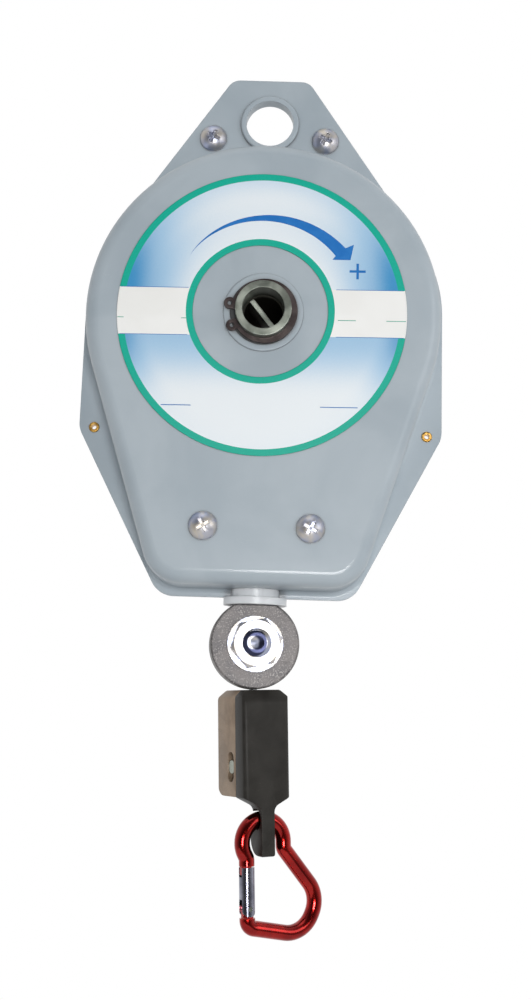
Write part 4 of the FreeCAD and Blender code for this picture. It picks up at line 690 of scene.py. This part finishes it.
def screw_tree():
    """Domed pan head screw with a cross recess, set on every point and turned to the front."""
    tree, source = new_tree("pan_head_screw", Head=NUMBER, Rise=NUMBER, Dome=NUMBER, Shank=NUMBER,
                            Length=NUMBER, Wing=NUMBER, Seed=COUNT, Material=FINISH)
    sizes = source.outputs

    def share(size, factor):
        """A size times a number."""
        return calc(tree, "MULTIPLY", sizes[size], factor)

    def moved(geometry, rise):
        """Geometry moved along the screw."""
        place = add(tree, "ShaderNodeCombineXYZ", {2: rise}).outputs[0]
        return add(tree, "GeometryNodeTransform", {"Geometry": geometry, "Translation": place}).outputs[0]

    def joined(operation, *parts):
        """Join, cut or intersect; a cut takes the later parts from the first."""
        node = add(tree, "GeometryNodeMeshBoolean", operation=operation, solver="EXACT")
        rest = parts
        if operation == "DIFFERENCE":
            tree.links.new(parts[0], node.inputs["Mesh 1"])
            rest = parts[1:]
        for part in reversed(rest):
            tree.links.new(part, node.inputs["Mesh 2"])
        return node.outputs["Mesh"]

    ball = add(tree, "GeometryNodeMeshUVSphere", {"Segments": 64, "Rings": 48, "Radius": sizes["Dome"]}).outputs[0]
    ball = moved(ball, calc(tree, "SUBTRACT", sizes["Rise"], sizes["Dome"]))
    rim = {"Vertices": 64, "Radius": sizes["Head"], "Depth": share("Rise", 2.0)}
    rim = moved(add(tree, "GeometryNodeMeshCylinder", rim).outputs[0], sizes["Rise"])
    head = joined("INTERSECT", ball, rim)
    span = share("Wing", 3.7)
    wings = []
    for across, along in ((span, sizes["Wing"]), (sizes["Wing"], span)):
        size = add(tree, "ShaderNodeCombineXYZ", {0: across, 1: along, 2: share("Wing", 2.4)}).outputs[0]
        wings.append(moved(add(tree, "GeometryNodeMeshCube", {"Size": size}).outputs[0], sizes["Rise"]))
    taper = {"Vertices": 24, "Radius Top": share("Wing", 1.15), "Radius Bottom": share("Wing", 0.2),
             "Depth": share("Wing", 1.6)}
    pit = moved(add(tree, "GeometryNodeMeshCone", taper).outputs[0],
                calc(tree, "SUBTRACT", sizes["Rise"], share("Wing", 1.4)))
    head = joined("DIFFERENCE", head, joined("UNION", wings[0], wings[1], pit))
    rod = {"Vertices": 32, "Radius": sizes["Shank"], "Depth": sizes["Length"]}
    shank = moved(add(tree, "GeometryNodeMeshCylinder", rod).outputs[0], share("Length", -0.499))
    screw = joined("UNION", head, shank)
    spots = add(tree, "GeometryNodeMeshToPoints", {"Mesh": sizes["Geometry"]}).outputs[0]
    quarter = math.pi / 2
    spread = {"Min": (quarter, 0, 0), "Max": (quarter, quarter, 0), "Seed": sizes["Seed"]}
    spin = add(tree, "FunctionNodeRandomValue", spread, data_type="FLOAT_VECTOR").outputs[0]
    placed = {"Points": spots, "Instance": screw, "Rotation": spin}
    set_on = add(tree, "GeometryNodeInstanceOnPoints", placed).outputs[0]
    finish_tree(tree, source, set_on)
    return tree


SCREW = screw_tree()
for row, points, length, seed in (
        ("upper_screws", [(-21.3, -1.2, -6.2), (21.3, -1.2, -6.2)], 7.6, 3),
        ("lower_screws", [(-18.8, -25.0, -158.0), (18.8, -25.0, -158.0)], 50.2, 5)):
    screws = grown(row + "_domed", SCREW, points, Head=HEAD_R * MM, Rise=HEAD_RISE * MM, Dome=DOME_R * MM,
                   Shank=SHANK_R * MM, Length=length * MM, Wing=WING * MM, Seed=seed,
                   Material=MATERIALS["zinc_plated_steel"])
    screws.data.set_sharp_from_angle(angle=math.radians(35))
    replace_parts(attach(screws, "housing"), row)

bolt_end = Matrix.Rotation(STOP_TURN, 3, "Z") @ Vector((0, -17.0, 0)) + STOP
bolt_thread = grown("bolt_thread", thread_tree(), [bolt_end], Radius=4.75 * MM, Tip=4.4 * MM, Pitch=1.5 * MM,
                    Turns=0.8, Ridge=0.26 * MM, Material=MATERIALS["faced_steel"])
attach(bolt_thread, "rope_end")

# Floor, far under the object so that the pulled rope and the low camera stay clear of it.
FLOOR_Z = -2.05
FLOOR_GLOW = 0.9
REACH = 4.0
floor_corners = [(x * REACH, y * REACH, FLOOR_Z) for x, y in ((-1, -1), (1, -1), (1, 1), (-1, 1))]
pale = bpy.data.materials.new("pale_floor")
pale.use_nodes = True
ground = pale.node_tree
ground.nodes.clear()
matt = add(ground, "ShaderNodeBsdfPrincipled", {"Base Color": colour("F2F2F2"), "Roughness": 0.8})
glow = add(ground, "ShaderNodeEmission", {"Color": colour("FFFFFF"), "Strength": 1.0})
rays = add(ground, "ShaderNodeLightPath").outputs
mirrored = calc(ground, "MAXIMUM", rays["Is Glossy Ray"], rays["Is Transmission Ray"])
seen = calc(ground, "MAXIMUM", rays["Is Camera Ray"], mirrored)
glowing = calc(ground, "MULTIPLY", seen, FLOOR_GLOW)
blended = add(ground, "ShaderNodeMixShader", {0: glowing, 1: matt.outputs[0], 2: glow.outputs[0]})
add(ground, "ShaderNodeOutputMaterial", {"Surface": blended.outputs[0]})
floor = mesh_object("floor", floor_corners, [(0, 1, 2, 3)], pale)

# Lamps
MIDDLE = (0, 0, -0.14)


def area_light(name, place, size, watts):
    """Square soft white light that looks at the object's middle."""
    data = bpy.data.lights.new(name, "AREA")
    data.size = size
    data.energy = watts
    lamp = bpy.data.objects.new(name, data)
    lamp.location = place
    lamp.rotation_euler = (Vector(MIDDLE) - Vector(place)).to_track_quat("-Z", "Y").to_euler()
    bpy.context.scene.collection.objects.link(lamp)


area_light("flash_panel", (0.12, -1.25, -0.26), 0.32, 9.7)
area_light("right_panel", (0.9, -0.7, 0.1), 0.6, 3.0)
area_light("top_panel", (-0.1, -0.4, 0.9), 0.7, 1.5)

SOFT_FILL = 0.75
world = bpy.data.worlds.new("studio")
bpy.context.scene.world = world
world.use_nodes = True
sky = world.node_tree
sky.nodes.clear()
direction = add(sky, "ShaderNodeTexCoord").outputs["Generated"]
north = parted(sky, direction)[1]
# The room is dim in front of the object and white at its sides and back. Gloss shows it at full
# strength, a camera ray sees plain white all round, and what reaches matt faces is softer.
room = mix(sky, between(sky, north, -1.0, 0.25, 0.05, 1.0), "000000", "FFFFFF")
path = add(sky, "ShaderNodeLightPath").outputs
mirrored = calc(sky, "MAXIMUM", path["Is Glossy Ray"], path["Is Transmission Ray"])
shown = calc(sky, "MAXIMUM", path["Is Camera Ray"], mirrored)
strength = calc(sky, "MULTIPLY_ADD", shown, 1.0 - SOFT_FILL, SOFT_FILL)
around_it = mix(sky, path["Is Camera Ray"], room, "FFFFFF")
light = add(sky, "ShaderNodeBackground", {"Color": around_it, "Strength": strength})
add(sky, "ShaderNodeOutputWorld", {"Surface": light.outputs[0]})

# Camera matched to the photograph: close, below the label's height, looking slightly up.
AZIMUTH, TILT, ROLL = (math.radians(a) for a in (0.284, 8.341, 1.757))
CAMERA = Vector((5.212, -510.774, -219.538)) * MM
FOCAL_PX, FRAME_PX = 1403.16, 1000
ahead = Vector((-math.sin(AZIMUTH) * math.cos(TILT), math.cos(AZIMUTH) * math.cos(TILT), math.sin(TILT)))
level = Vector((math.cos(AZIMUTH), math.sin(AZIMUTH), 0))
right = level * math.cos(ROLL) + level.cross(ahead) * math.sin(ROLL)
over = right.cross(ahead)
lens = bpy.data.cameras.new("photo_camera")
lens.sensor_fit = "VERTICAL"
lens.sensor_height = 36.0
lens.lens = FOCAL_PX / FRAME_PX * lens.sensor_height
lens.clip_start = 0.01
camera = bpy.data.objects.new("photo_camera", lens)
camera.matrix_world = Matrix((right, over, -ahead)).transposed().to_4x4()
camera.location = CAMERA
bpy.context.scene.collection.objects.link(camera)
bpy.context.scene.camera = camera
bpy.context.scene.view_settings.view_transform = "Standard"
